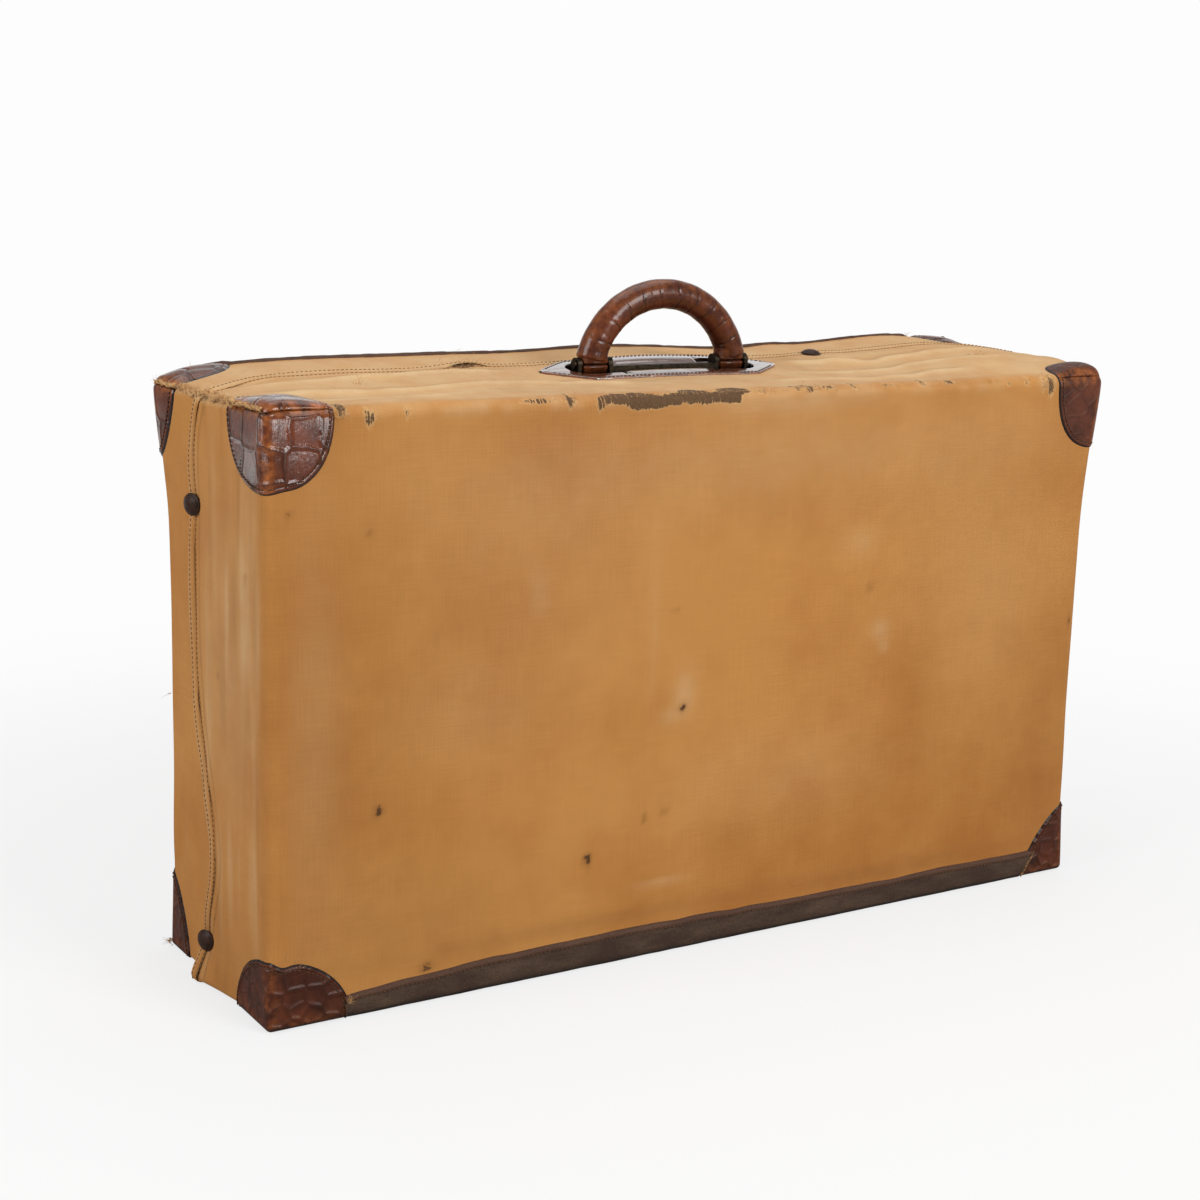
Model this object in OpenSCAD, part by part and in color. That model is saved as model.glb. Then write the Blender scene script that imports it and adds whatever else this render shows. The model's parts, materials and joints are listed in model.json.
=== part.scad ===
// Vintage suitcase in a fitted canvas travel cover, standing on its hinge side.
// Millimetres. X runs along the case, the front face looks to -Y, Z is up.
// The origin is on the floor, under the middle of the case.

/* [Overall] */
// Length over the leather corners
case_w = 710; // [500:5:900]
// Depth over the leather corners
case_d = 186; // [150:2:260]
// Height over the leather corners, without the handle
case_h = 414; // [320:2:520]
// Distance of the parting line and hinge pins behind the middle of the depth
parting_y = 30; // [10:1:45]

/* [Canvas cover] */
// Thickness of the canvas
canvas_t = 1.2; // [0.8:0.1:2]
// Radius of the cover's sewn edges
edge_r = 9; // [5:0.5:14]
// Air between the front cover and the back cover tucked under it
tuck_gap = 0.8; // [0.7:0.1:1.5]
// How far the front cover's hem reaches past the parting line
hem_reach = 6; // [3:0.5:8]
// How far the back cover tucks in under the hem on the top
tuck_top = 20; // [12:1:20]
// How far the back cover tucks in under the hem at the ends
tuck_end = 50; // [40:1:60]
// How far the slack hem is drawn towards the front near the bottom of each end
hem_dip = 30; // [0:1:34]
// Rise of the slack canvas over the top
crown_h = 8.5; // [6:0.5:14]
// Further rise from the hem to the back edge
back_rise = 4.5; // [0:0.5:8]
// Extra rise where the handle holds the canvas up
handle_rise = 5; // [0:0.5:6]

/* [Leather trim] */
// Thickness of the leather corners, strips and patch
leather_t = 1.8; // [1.2:0.1:2.5]
// Reach of a leather corner along each edge
corner_reach = 54; // [40:1:60]
// Height of the bottom strip at its ends
strip_h = 20; // [14:1:30]
// Extra height of the bottom strip at its middle
strip_bow = 9; // [0:1:15]
// Width that the strips cover under the case
strip_under = 24; // [14:1:40]
// Width of the back top binding on the top
binding_top = 6; // [4:0.5:12]
// Depth of the back top binding on the back
binding_back = 20; // [12:1:30]
// Length of the handle patch, tip to tip
patch_l = 206; // [200:1:240]
// Width of the handle patch
patch_w = 50; // [44:1:60]
// Length of the slot that the handle comes through, end to end
slot_l = 162; // [160:1:180]
// Width of the slot's two openings, where the feet turn
slot_w = 30; // [28:0.5:34]
// Length of each opening
opening_l = 44; // [42:1:60]
// Width of the slit between the openings, round the bracket's bar
slit_w = 13; // [12:0.5:20]

/* [Press studs] */
// Diameter of a stud cap
stud_d = 14; // [9:0.5:18]
// Height of a stud cap
stud_h = 2.6; // [1.5:0.1:4]
// Distance from the hem to the stud's middle
stud_inset = 10.5; // [8:0.5:14]
// Height of the upper stud on each end
stud_upper_z = 336; // [250:1:345]
// Height of the lower stud on each end
stud_lower_z = 31; // [20:1:45]
// Distance of the top studs from the middle
stud_top_x = 158; // [120:1:175]

/* [Fibre case] */
// Thickness of the fibreboard
board_t = 3; // [2:0.5:5]
// Thickness of the paper lining
lining_t = 0.8; // [0.5:0.1:1.5]
// Thickness of the wooden lip inside the front tray
lip_t = 4; // [3:0.5:8]
// How far the lip reaches into the back tray
lip_reach = 10; // [5:1:20]
// How far the lip sits inside the front tray
lip_seat = 16; // [10:1:24]

/* [Hinges] */
// Distance of the outer hinges from the middle
hinge_x = 240; // [150:5:270]
// Length of a hinge along its pin
hinge_l = 50; // [36:2:80]
// Width of each leaf, measured from the pin
leaf_w = 28; // [22:1:40]
// Thickness of a leaf
leaf_t = 1.2; // [0.8:0.1:1.6]
// Outside radius of a knuckle
knuckle_r = 2.4; // [2.2:0.1:2.8]
// Radius of a hinge pin
pin_r = 1.2; // [0.9:0.1:1.4]
// Radius of a hinge rivet's shank
rivet_r = 1.6; // [1.2:0.1:2]

/* [Locks] */
// Distance of each lock from the middle
lock_x = 190; // [155:5:240]
// Length of a lock along the case
lock_l = 42; // [40:1:56]
// Height of a lock over the case top
lock_h = 6.5; // [6.2:0.1:7]
// Travel of the lock's bolt
bolt_travel = 7; // [6.5:0.1:8]

/* [Handle] */
// Distance of each foot of the handle from the middle
foot_x = 60; // [56:0.5:63]
// Length of a foot along its pin
foot_l = 22; // [18:0.5:23]
// Radius of a foot round its pin
foot_r = 8.6; // [7.5:0.1:9]
// Height of the pins above the top of the case
pin_rise = 15.3; // [15:0.1:17]
// Height of the grip's centre line above the pins
grip_rise = 48.4; // [44:0.2:52]
// Radius of the grip
grip_r = 10.2; // [8:0.1:10.4]
// Radius of the core inside the grip
core_r = 4; // [3:0.1:5]
// Creased segments along the grip
grip_segments = 11; // [7:1:15]
// Depth of a crease
crease_d = 0.9; // [0.3:0.1:1.4]
// Radius of a handle pin
handle_pin_r = 2; // [1.5:0.1:2.5]
// Thickness of a bracket ear
ear_t = 3; // [2:0.1:3.4]
// Thickness of a washer between ear and foot
washer_t = 0.8; // [0.5:0.1:1]

/* [Hidden] */

$fn = 48;

// Cover: outside of the front canvas, inside the leather
cover_w = case_w - 2 * leather_t;
cover_d = case_d - 2 * leather_t;
cover_z0 = leather_t;
cover_z1 = case_h - leather_t;
hem_y = parting_y + hem_reach;
// Side inset of the tucked back cover, and of the fibre case within both
tuck_side = canvas_t + tuck_gap;
tray_slack = 0.3;
tray_side = tuck_side + canvas_t + tray_slack;

// The canvas climbs from the flat front of the top to a crown behind the handle
crown_y0 = -55;
crown_run = 85;
back_y0 = 20;
back_run = 70;
bump_w = 90;
ring_steps = 14;
arc_steps = 3;
top_steps = 9;

// Fibre case, a little rounder at its edges than the cover
tray_r = edge_r + 3;
tray_x = cover_w / 2 - tray_side;
tray_y = cover_d / 2 - canvas_t;
tray_z0 = cover_z0 + canvas_t;
tray_z1 = cover_z1 - tray_side;
lip_gap = 0.5;
base_lining_t = lining_t + lip_gap;
rim_gap = 0.1;

// Hinge pins lie level with the bottom boards, so a slot under them lets the lid turn
hinge_z = tray_z0 + board_t + leaf_t - knuckle_r;
slot_half = 4.2;
slot_top = tray_z0 + board_t + leaf_t + 0.4;
running = 0.05;
knuckle_gap = 0.3;
leaf_pocket = 0.4;
rivet_inset = 8;
rivet_y = leaf_w - 7;
rivet_head_r = 3;
rivet_head_h = 1;

// Locks, measured from each lock's middle
lock_y0 = 6;
lock_y1 = parting_y - 3;
lock_base_t = 1;
bolt_y0 = 9;
bolt_w = 6;
bolt_h = 3;
bolt_l = 24;
bolt_fit = 0.2;
bolt_x0 = -20;
fin_x0 = 6;
fin_t = 2.5;
fin_gap = 0.5;
fin_rim = 2;
button_l = 5;
button_h = 1.6;
button_x = -12;
hasp_y1 = parting_y + 22;
hasp_w = 26;

// Handle
top_z = tray_z1;
handle_pin_z = top_z + pin_rise;
plate_t = 2.5;
plate_w = 20;
ear_r = 5;
side_gap = 0.2;
ear_x0 = foot_l / 2 + side_gap + washer_t;
pin_head_r = 3.4;
pin_head_h = 1.5;
bar_w = 7;
bar_top = handle_pin_z - 1.5;
grip_radius = (foot_x * foot_x + grip_rise * grip_rise) / (2 * grip_rise);
grip_zc = handle_pin_z + grip_rise - grip_radius;
grip_a0 = asin((handle_pin_z - grip_zc) / grip_radius);

// Colours
canvas_colour = "#BE874B";
croc_colour = "#6B3A22";
strip_colour = "#4A3428";
bronze_colour = "#5A4A34";
board_colour = "#7A5A3C";
lining_colour = "#C9B38C";
wood_colour = "#B58A55";
steel_colour = "#8C8C88";
stud_colour = "#2E221C";

// Shape functions

function smooth(t) = let (c = min(max(t, 0), 1)) c * c * (3 - 2 * c);

// 1 along the case, falling to 0 at both ends, as the slack canvas does over the top
function plateau(x) = max(0, 1 - pow(abs(2 * x / cover_w), 8));

// Rise of the slack canvas over the flat top at a point
function crown(x, y) =
    smooth((y - crown_y0) / crown_run)
    * (crown_h * plateau(x) + handle_rise * exp(-pow(x / bump_w, 2)))
    + back_rise * smooth((y - back_y0) / back_run) * plateau(x);

// Quarter arc of a section's corner, a0 being where it starts
function quarter(y, z, r, a0) =
    [for (i = [0 : arc_steps]) let (a = a0 - 90 * i / arc_steps) [y + r * cos(a), z + r * sin(a)]];

// One section of the cover at x: front, top and back, with the crown on the top
function section(x, y0, y1, z0, z1, r) =
    let (
        flat0 = y0 + r,
        flat1 = y1 - r,
        low_front = quarter(flat0, z0 + r, r, 270),
        top_front = quarter(flat0, z1 - r, r, 180),
        top_mid = [for (i = [1 : top_steps - 1]) [flat0 + (flat1 - flat0) * i / top_steps, z1]],
        top_back = quarter(flat1, z1 - r, r, 90),
        low_back = quarter(flat1, z0 + r, r, 0)
    )
    [
        for (p = low_front) [x, p[0], p[1]],
        for (p = concat(top_front, top_mid, top_back)) [x, p[0], p[1] + crown(x, p[0])],
        for (p = low_back) [x, p[0], p[1]]
    ];

// Stations along the case: where each section lies, and how far the rounded end draws it in
function stations(half, r, steps) = concat(
    [for (i = [0 : arc_steps]) let (a = 90 - 90 * i / arc_steps)
        [-half + r * (1 - sin(a)), r * (1 - cos(a))]],
    [for (i = [1 : 1 : steps - 1]) [(-half + r) * (1 - 2 * i / steps), 0]],
    [for (i = [0 : arc_steps]) let (a = 90 * i / arc_steps)
        [half - r * (1 - sin(a)), r * (1 - cos(a))]]
);

// The cover's outer form, drawn in by side at the ends and top, by face at front and back,
// and by low at the bottom. span keeps only the stretch of it that a piece needs.
module cover_form(side, face, low, span = [-case_w, case_w], steps = ring_steps) {
    r = max(edge_r - side, 2);
    tight = 0.3;
    rings = [
        for (s = stations(cover_w / 2 - side, r, steps))
            if (s[0] > span[0] && s[0] < span[1]) section(
                s[0],
                -cover_d / 2 + face + s[1],
                cover_d / 2 - face - s[1],
                cover_z0 + low + s[1],
                cover_z1 - side - s[1],
                max(r - s[1], tight)
            )
    ];
    n = len(rings[0]);
    last = len(rings) - 1;
    polyhedron(
        points = [for (ring = rings) each ring],
        faces = [
            [for (j = [n - 1 : -1 : 0]) j],
            for (i = [0 : last - 1], j = [0 : n - 1])
                let (k = (j + 1) % n)
                    each [
                        [i * n + j, (i + 1) * n + k, (i + 1) * n + j],
                        [i * n + j, i * n + k, (i + 1) * n + k]
                    ],
            [for (j = [0 : n - 1]) last * n + j]
        ],
        convexity = 4
    );
}

// Outline in Y and Z, carried right along the case
module along_x(length) {
    rotate([90, 0, 90])
        linear_extrude(length, center = true)
            children();
}

// Outline in X and Z, carried from y0 to y1
module along_y(y0, y1) {
    translate([0, y1, 0])
        rotate([90, 0, 0])
            linear_extrude(y1 - y0)
                children();
}

// Canvas cover

// Hem of the front cover at the ends: drawn forward where the canvas hangs slack
function hem_at(z) =
    hem_y
    - hem_dip * exp(-pow((z - 0.24 * case_h) / (0.17 * case_h), 2))
    - 0.6 * hem_dip * exp(-pow((z - 1.02 * case_h) / (0.07 * case_h), 2));

hem_steps = 36;
hem_low = cover_z0 + edge_r;
hem_top = cover_z1 - edge_r;

// Everything in front of the hem, seen from the end
module front_side() {
    far = case_w;
    polygon([
        [-far, -far],
        [parting_y - slot_half, -far],
        [parting_y - slot_half, cover_z0 + canvas_t + 0.5],
        for (i = [0 : hem_steps])
            let (z = hem_low + (hem_top - hem_low) * i / hem_steps) [hem_at(z), z],
        [hem_y, cover_z1],
        [hem_y, far],
        [-far, far]
    ]);
}

// Everything that belongs to the back cover, with the flaps tucked in under the hem
module back_side() {
    far = case_w;
    flap_z = cover_z0 + canvas_t + edge_r;
    flap_y = hem_y - tuck_end;
    top_y = hem_y - tuck_top;
    polygon([
        [parting_y + slot_half, -far],
        [far, -far],
        [far, far],
        [top_y, far],
        [top_y, 0.95 * case_h],
        [flap_y, 0.72 * case_h],
        [flap_y, flap_z],
        [parting_y + slot_half, flap_z]
    ]);
}

// Outline of the slot for the handle: an opening for each foot, round at its outer end,
// and a slit between the two
module slot_outline() {
    r = slot_w / 2;
    straight = opening_l - r;
    square([slot_l - 2 * straight, slit_w], center = true);
    for (side = [-1, 1]) {
        translate([side * (slot_l / 2 - r - straight / 2), 0])
            square([straight, slot_w], center = true);
        translate([side * (slot_l / 2 - r), 0])
            circle(r);
    }
}

module through_slot() {
    translate([0, 0, case_h / 2])
        linear_extrude(case_h)
            slot_outline();
}

module cover_front() {
    color(canvas_colour)
        difference() {
            intersection() {
                difference() {
                    cover_form(0, 0, 0);
                    cover_form(canvas_t, canvas_t, canvas_t);
                }
                along_x(2 * case_w)
                    front_side();
            }
            through_slot();
        }
}

module cover_back() {
    color(canvas_colour)
        intersection() {
            difference() {
                cover_form(tuck_side, 0, 0);
                cover_form(tuck_side + canvas_t, canvas_t, canvas_t);
            }
            along_x(2 * case_w)
                back_side();
        }
}

// Leather trim

// A layer of leather on the canvas: side says how far that canvas is drawn in
module leather_skin(side, span = [-case_w, case_w], steps = ring_steps) {
    difference() {
        cover_form(side - leather_t, -leather_t, -leather_t, span, steps);
        cover_form(side, 0, 0, span, steps);
    }
}

blob_power = 2.5;
blob_rows = 10;
blob_steps = 16;

function signed_pow(v) = sign(v) * pow(abs(v), 2 / blob_power);

// Rounded block that a leather corner is cut to: a superellipsoid on the vertex
module corner_blob(r) {
    rows = [for (i = [1 : blob_rows - 1]) -90 + 180 * i / blob_rows];
    points = concat(
        [[0, 0, -r]],
        [for (b = rows, j = [0 : blob_steps - 1])
            let (a = 360 * (j + 0.5) / blob_steps)
                r * [
                    signed_pow(cos(b)) * signed_pow(cos(a)),
                    signed_pow(cos(b)) * signed_pow(sin(a)),
                    signed_pow(sin(b))
                ]],
        [[0, 0, r]]
    );
    top = len(points) - 1;
    first = 1 + (len(rows) - 1) * blob_steps;
    polyhedron(
        points = points,
        faces = [
            for (j = [0 : blob_steps - 1]) [0, 1 + j, 1 + (j + 1) % blob_steps],
            for (i = [0 : len(rows) - 2], j = [0 : blob_steps - 1])
                let (a = 1 + i * blob_steps, k = (j + 1) % blob_steps)
                    each [
                        [a + j, a + blob_steps + j, a + blob_steps + k],
                        [a + j, a + blob_steps + k, a + k]
                    ],
            for (j = [0 : blob_steps - 1]) [top, first + (j + 1) % blob_steps, first + j]
        ]
    );
}

// Leather corner at the vertex that the three signs name
module leather_corner(sx, sy, sz) {
    side = sy < 0 ? 0 : tuck_side;
    inner_x = cover_w / 2 - 2 * corner_reach;
    color(croc_colour)
        intersection() {
            leather_skin(side, sx < 0 ? [-case_w, -inner_x] : [inner_x, case_w]);
            translate([
                sx * (cover_w / 2 - side),
                sy * cover_d / 2,
                sz < 0 ? cover_z0 : cover_z1 - side
            ])
                corner_blob(corner_reach);
        }
}

module corner_front_top_left() leather_corner(-1, -1, 1);
module corner_front_top_right() leather_corner(1, -1, 1);
module corner_front_bottom_left() leather_corner(-1, -1, -1);
module corner_front_bottom_right() leather_corner(1, -1, -1);
module corner_back_top_left() leather_corner(-1, 1, 1);
module corner_back_top_right() leather_corner(1, 1, 1);
module corner_back_bottom_left() leather_corner(-1, 1, -1);
module corner_back_bottom_right() leather_corner(1, 1, -1);

strip_gap = 0.5;
strip_steps = 12;

// Half length of a strip between two leather corners on canvas drawn in by side
function strip_half(side) = cover_w / 2 - side - corner_reach - strip_gap;

// Bottom strip's outline from the front, bowed up at the middle
module strip_outline(half) {
    polygon([
        [-half, -case_h],
        [half, -case_h],
        for (i = [0 : strip_steps])
            let (t = 1 - 2 * i / strip_steps)
                [half * t, strip_h + strip_bow * (1 - t * t)]
    ]);
}

// Strip folded round the bottom edge, front (sy < 0) or back
module bottom_strip(sy) {
    edge = sy * case_d / 2;
    inner = edge - sy * strip_under;
    side = sy < 0 ? 0 : tuck_side;
    color(strip_colour)
        intersection() {
            leather_skin(side, steps = 1);
            along_y(min(edge, inner) - 1, max(edge, inner) + 1)
                strip_outline(strip_half(side));
        }
}

module front_bottom_strip() bottom_strip(-1);
module back_bottom_strip() bottom_strip(1);

// Binding on the back top edge. Its right end is torn off short of the corner.
binding_left = -strip_half(tuck_side);
binding_right = 0.34 * case_w;

module back_top_strip() {
    color(strip_colour)
        intersection() {
            leather_skin(tuck_side);
            translate([binding_left, cover_d / 2 - binding_top, cover_z1 - binding_back])
                cube([binding_right - binding_left, case_d, case_h]);
        }
}

// Patch round the handle's slot, pointed at both ends
module handle_patch() {
    point_l = (patch_l - slot_l) / 2 + slot_w / 3;
    half = patch_l / 2;
    color(croc_colour)
        intersection() {
            leather_skin(0, [-0.75 * patch_l, 0.75 * patch_l]);
            translate([0, 0, case_h / 2])
                linear_extrude(case_h)
                    difference() {
                        polygon([
                            [-half, 0],
                            [point_l - half, -patch_w / 2],
                            [half - point_l, -patch_w / 2],
                            [half, 0],
                            [half - point_l, patch_w / 2],
                            [point_l - half, patch_w / 2]
                        ]);
                        slot_outline();
                    }
        }
}

// Press studs

// Places its children on the ends and the top, pointing outwards, side being the canvas's inset
module at_end_studs(side) {
    for (sx = [-1, 1], z = [stud_lower_z, stud_upper_z])
        translate([sx * (cover_w / 2 - side), hem_at(z) - stud_inset, z])
            rotate([0, sx * 90, 0])
                children();
}

module at_top_stud(sx, side) {
    y = hem_y - stud_inset;
    x = sx * stud_top_x;
    slope_run = stud_d / 2;
    tilt_x = atan2(crown(x + slope_run, y) - crown(x - slope_run, y), stud_d);
    tilt_y = atan2(crown(x, y + slope_run) - crown(x, y - slope_run), stud_d);
    seat = 0.1;
    translate([x, y, cover_z1 - side + crown(x, y) + seat])
        rotate([tilt_y, -tilt_x, 0])
            children();
}

// Domed cap, closed underneath
module stud_cap() {
    rim = stud_h * 0.35;
    dome_r = (pow(stud_d / 2, 2) + pow(stud_h - rim, 2)) / (2 * (stud_h - rim));
    cylinder(d = stud_d, h = rim);
    intersection() {
        translate([0, 0, rim])
            cylinder(d = stud_d, h = stud_h);
        translate([0, 0, stud_h - dome_r])
            sphere(dome_r, $fn = 96);
    }
}

// The front cover's caps. The top left one has torn out of the canvas.
module stud_caps() {
    color(stud_colour) {
        at_end_studs(0)
            stud_cap();
        at_top_stud(1, 0)
            stud_cap();
    }
}

post_d = 9;
post_h = tuck_gap - 0.3;

// The back cover's posts, low enough to pass under the hem
module stud_posts() {
    color(bronze_colour) {
        at_end_studs(tuck_side)
            cylinder(d = post_d, h = post_h);
        for (sx = [-1, 1])
            at_top_stud(sx, tuck_side)
                cylinder(d = post_d, h = post_h - 0.1);
    }
}

// Fibre case

// Rounded outline of the trays in X and Z, drawn in by inset
module tray_outline(inset) {
    r = max(tray_r - inset, 2);
    w = 2 * (tray_x - inset);
    z0 = tray_z0 + inset;
    z1 = tray_z1 - inset;
    translate([-w / 2 + r, z0])
        square([w - 2 * r, z1 - z0]);
    translate([-w / 2, z0 + r])
        square([w, z1 - z0 - 2 * r]);
    for (x = [-w / 2 + r, w / 2 - r], z = [z0 + r, z1 - r])
        translate([x, z])
            circle(r);
}

// Strip of an outline from a0 to a1 and from b0 to b1, rounded at both of its corners at a0
module round_end(a0, a1, b0, b1, r) {
    way = sign(a1 - a0);
    low = min(a0 + way * r, a1);
    translate([low, b0])
        square([abs(a1 - a0) - r, b1 - b0]);
    translate([min(a0, a1), b0 + r])
        square([abs(a1 - a0), b1 - b0 - 2 * r]);
    for (b = [b0 + r, b1 - r])
        translate([a0 + way * r, b])
            circle(r);
}

// Block from the tray's floor at y0 to its rim at y1, with all but the rim's edges rounded
module tray_block(y0, y1, inset) {
    r = max(tray_r - inset, 2);
    x = tray_x - inset;
    intersection() {
        along_y(min(y0, y1), max(y0, y1))
            tray_outline(inset);
        along_x(2 * case_w)
            round_end(y0, y1, tray_z0 + inset, tray_z1 - inset, r);
        linear_extrude(2 * case_h)
            mirror([1, -1])
                round_end(y0, y1, -x, x, r);
    }
}

// Open tray from the floor at y0 to the rim at y1, whichever way it faces
module tray(y0, y1, outer, wall, floor_t) {
    way = sign(y1 - y0);
    difference() {
        tray_block(y0, y1, outer);
        tray_block(y0 + way * floor_t, y1 + way, outer + wall);
    }
}

// Slot along the bottom that the knuckles lie in
module hinge_slot() {
    translate([-case_w / 2, parting_y - slot_half, -1])
        cube([case_w, 2 * slot_half, slot_top + 1]);
}

function hinge_places() = [-hinge_x, 0, hinge_x];

// Places its children at each hinge; way is -1 for the front tray and 1 for the lid
module at_hinges(way) {
    for (x = hinge_places())
        translate([x, parting_y, 0])
            mirror([0, way > 0 ? 1 : 0, 0])
                children();
}

// The two rivet places of a leaf, for the leaf that lies towards -Y of its pin
module at_leaf_rivets() {
    for (side = [-1, 1])
        translate([side * (hinge_l / 2 - rivet_inset), -rivet_y, 0])
            children();
}

module rivet_holes(way) {
    at_hinges(way)
        at_leaf_rivets()
            translate([0, 0, -1])
                cylinder(r = rivet_r + running, h = slot_top + 2 * board_t);
}

module leaf_pockets(way) {
    at_hinges(way)
        translate([-hinge_l / 2 - leaf_pocket, -leaf_w - leaf_pocket, tray_z0 + board_t - 1])
            cube([hinge_l + 2 * leaf_pocket, leaf_w + leaf_pocket, base_lining_t + 2]);
}

module case_base() {
    color(board_colour)
        difference() {
            tray(-tray_y, parting_y - rim_gap / 2, 0, board_t, board_t);
            hinge_slot();
            rivet_holes(-1);
        }
}

module case_lid() {
    color(board_colour)
        difference() {
            tray(tray_y, parting_y + rim_gap / 2, 0, board_t, board_t);
            hinge_slot();
            rivet_holes(1);
        }
}

module base_lining() {
    color(lining_colour)
        difference() {
            tray(-tray_y + board_t, parting_y - rim_gap / 2, board_t, base_lining_t, lining_t);
            hinge_slot();
            leaf_pockets(-1);
        }
}

module lid_lining() {
    color(lining_colour)
        difference() {
            tray(tray_y - board_t, parting_y + rim_gap / 2, board_t, lining_t, lining_t);
            hinge_slot();
            leaf_pockets(1);
        }
}

lip_inset = board_t + base_lining_t;
lip_clear_of_floor = 45;

// Wooden lip round the top and both ends, glued in the front tray
module frame_lip() {
    color(wood_colour)
        along_y(parting_y - lip_seat, parting_y + lip_reach)
            difference() {
                tray_outline(lip_inset);
                tray_outline(lip_inset + lip_t);
                translate([-case_w / 2, -1])
                    square([case_w, lip_clear_of_floor + 1]);
            }
}

// Hinges

knuckle_l = hinge_l / 3;

module knuckle(x0, x1) {
    leaf_z = tray_z0 + board_t;
    reach = knuckle_r + knuckle_gap + 0.1;
    translate([x0, 0, hinge_z])
        rotate([0, 90, 0])
            cylinder(r = knuckle_r, h = x1 - x0);
    translate([x0, -reach, leaf_z])
        cube([x1 - x0, reach, leaf_t]);
}

// One leaf that lies towards -Y of its pin, with the knuckles named as pairs of ends
module hinge_leaf(knuckles) {
    edge = knuckle_r + knuckle_gap;
    difference() {
        union() {
            translate([-hinge_l / 2, -leaf_w, tray_z0 + board_t])
                cube([hinge_l, leaf_w - edge, leaf_t]);
            for (k = knuckles)
                knuckle(k[0], k[1]);
        }
        translate([-hinge_l, 0, hinge_z])
            rotate([0, 90, 0])
                cylinder(r = pin_r + running, h = 2 * hinge_l);
        at_leaf_rivets()
            cylinder(r = rivet_r + running, h = slot_top + board_t);
    }
}

module base_hinge_leaves() {
    color(steel_colour)
        at_hinges(-1)
            hinge_leaf([[-hinge_l / 2, -knuckle_l / 2], [knuckle_l / 2, hinge_l / 2]]);
}

module lid_hinge_leaves() {
    inner = knuckle_l / 2 - knuckle_gap;
    color(steel_colour)
        at_hinges(1)
            hinge_leaf([[-inner, inner]]);
}

module hinge_pins() {
    head_r = knuckle_r - 0.4;
    head_t = 0.8;
    color(steel_colour)
        at_hinges(-1)
            translate([-hinge_l / 2, 0, hinge_z])
                rotate([0, 90, 0]) {
                    cylinder(r = pin_r, h = hinge_l);
                    translate([0, 0, -head_t])
                        cylinder(r = head_r, h = head_t);
                    translate([0, 0, hinge_l])
                        cylinder(r = head_r, h = head_t);
                }
}

module leaf_rivet() {
    leaf_top = tray_z0 + board_t + leaf_t;
    translate([0, 0, tray_z0])
        cylinder(r = rivet_r, h = leaf_top - tray_z0);
    translate([0, 0, leaf_top])
        cylinder(r1 = rivet_head_r, r2 = rivet_r, h = rivet_head_h);
}

module base_hinge_rivets() {
    color(steel_colour)
        at_hinges(-1)
            at_leaf_rivets()
                leaf_rivet();
}

module lid_hinge_rivets() {
    color(steel_colour)
        at_hinges(1)
            at_leaf_rivets()
                leaf_rivet();
}

// Locks

// Places its children at the left (-1) or right (1) lock, on the top of the case
module at_lock(sx) {
    translate([sx * lock_x, 0, top_z])
        mirror([sx < 0 ? 1 : 0, 0, 0])
            children();
}

channel_z = lock_base_t + bolt_fit;
channel_h = bolt_h + 2 * bolt_fit;

// Plate and housing: the bolt runs along the case, and the hasp's fin drops in from behind
module lock_plate() {
    color(steel_colour)
        difference() {
            translate([-lock_l / 2, lock_y0, 0])
                cube([lock_l, lock_y1 - lock_y0, lock_h]);
            translate([-lock_l, bolt_y0, channel_z])
                cube([2 * lock_l, bolt_w, channel_h]);
            translate([fin_x0 - fin_gap, lock_y0 - 1, lock_base_t])
                cube([fin_t + 2 * fin_gap, lock_y1 - lock_y0 + 2, lock_h]);
            translate([button_x - fin_gap, bolt_y0 + fin_gap, channel_z])
                cube([button_l + bolt_travel + 2 * fin_gap, bolt_w - 2 * fin_gap, lock_h]);
        }
}

// Sliding bolt with its button, drawn back so that the hasp is free
module lock_bolt() {
    button_w = bolt_w - 4 * fin_gap;
    color(bronze_colour) {
        translate([bolt_x0, bolt_y0 + bolt_fit, channel_z + bolt_fit])
            cube([bolt_l, bolt_w - 2 * bolt_fit, bolt_h]);
        translate([button_x, bolt_y0 + (bolt_w - button_w) / 2, channel_z + bolt_fit])
            cube([button_l, button_w, lock_h - channel_z - bolt_fit + button_h / 2]);
    }
}

// Hasp on the lid: a plate with a hooked fin that the bolt passes through
module lock_hasp() {
    plate_y0 = parting_y + 1;
    hasp_t = lock_base_t + fin_gap;
    fin_z0 = lock_base_t + 0.3;
    fin_z1 = lock_h - 0.2;
    fin_y0 = bolt_y0 - fin_gap - fin_rim;
    fin_y1 = plate_y0 + 12;
    color(steel_colour)
        difference() {
            union() {
                translate([-hasp_w / 2, plate_y0, 0])
                    cube([hasp_w, hasp_y1 - plate_y0, hasp_t]);
                translate([fin_x0, fin_y0, fin_z0])
                    cube([fin_t, fin_y1 - fin_y0, fin_z1 - fin_z0]);
            }
            translate([fin_x0 - 1, bolt_y0 - fin_gap, 0])
                cube([fin_t + 2, bolt_w + 2 * fin_gap, channel_z + channel_h + 0.2]);
        }
}

module lock_plate_left() at_lock(-1) lock_plate();
module lock_plate_right() at_lock(1) lock_plate();
module lock_hasp_left() at_lock(-1) lock_hasp();
module lock_hasp_right() at_lock(1) lock_hasp();
module lock_bolt_left() at_lock(-1) lock_bolt();
module lock_bolt_right() at_lock(1) lock_bolt();

// Handle

// Places its children at each foot's pin, with Z turned to run along the pin
module at_feet(sides = [-1, 1]) {
    for (side = sides)
        translate([side * foot_x, 0, handle_pin_z])
            rotate([0, 90, 0])
                children();
}

bar_steps = 12;
bar_half = foot_x - ear_x0 - ear_t;

// Half width of the bar between the feet: narrow at the middle, an ear's width at its ends
function bar_half_w(x) = bar_w / 2 + (ear_r - bar_w / 2) * pow(abs(x / bar_half), 3);

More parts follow.
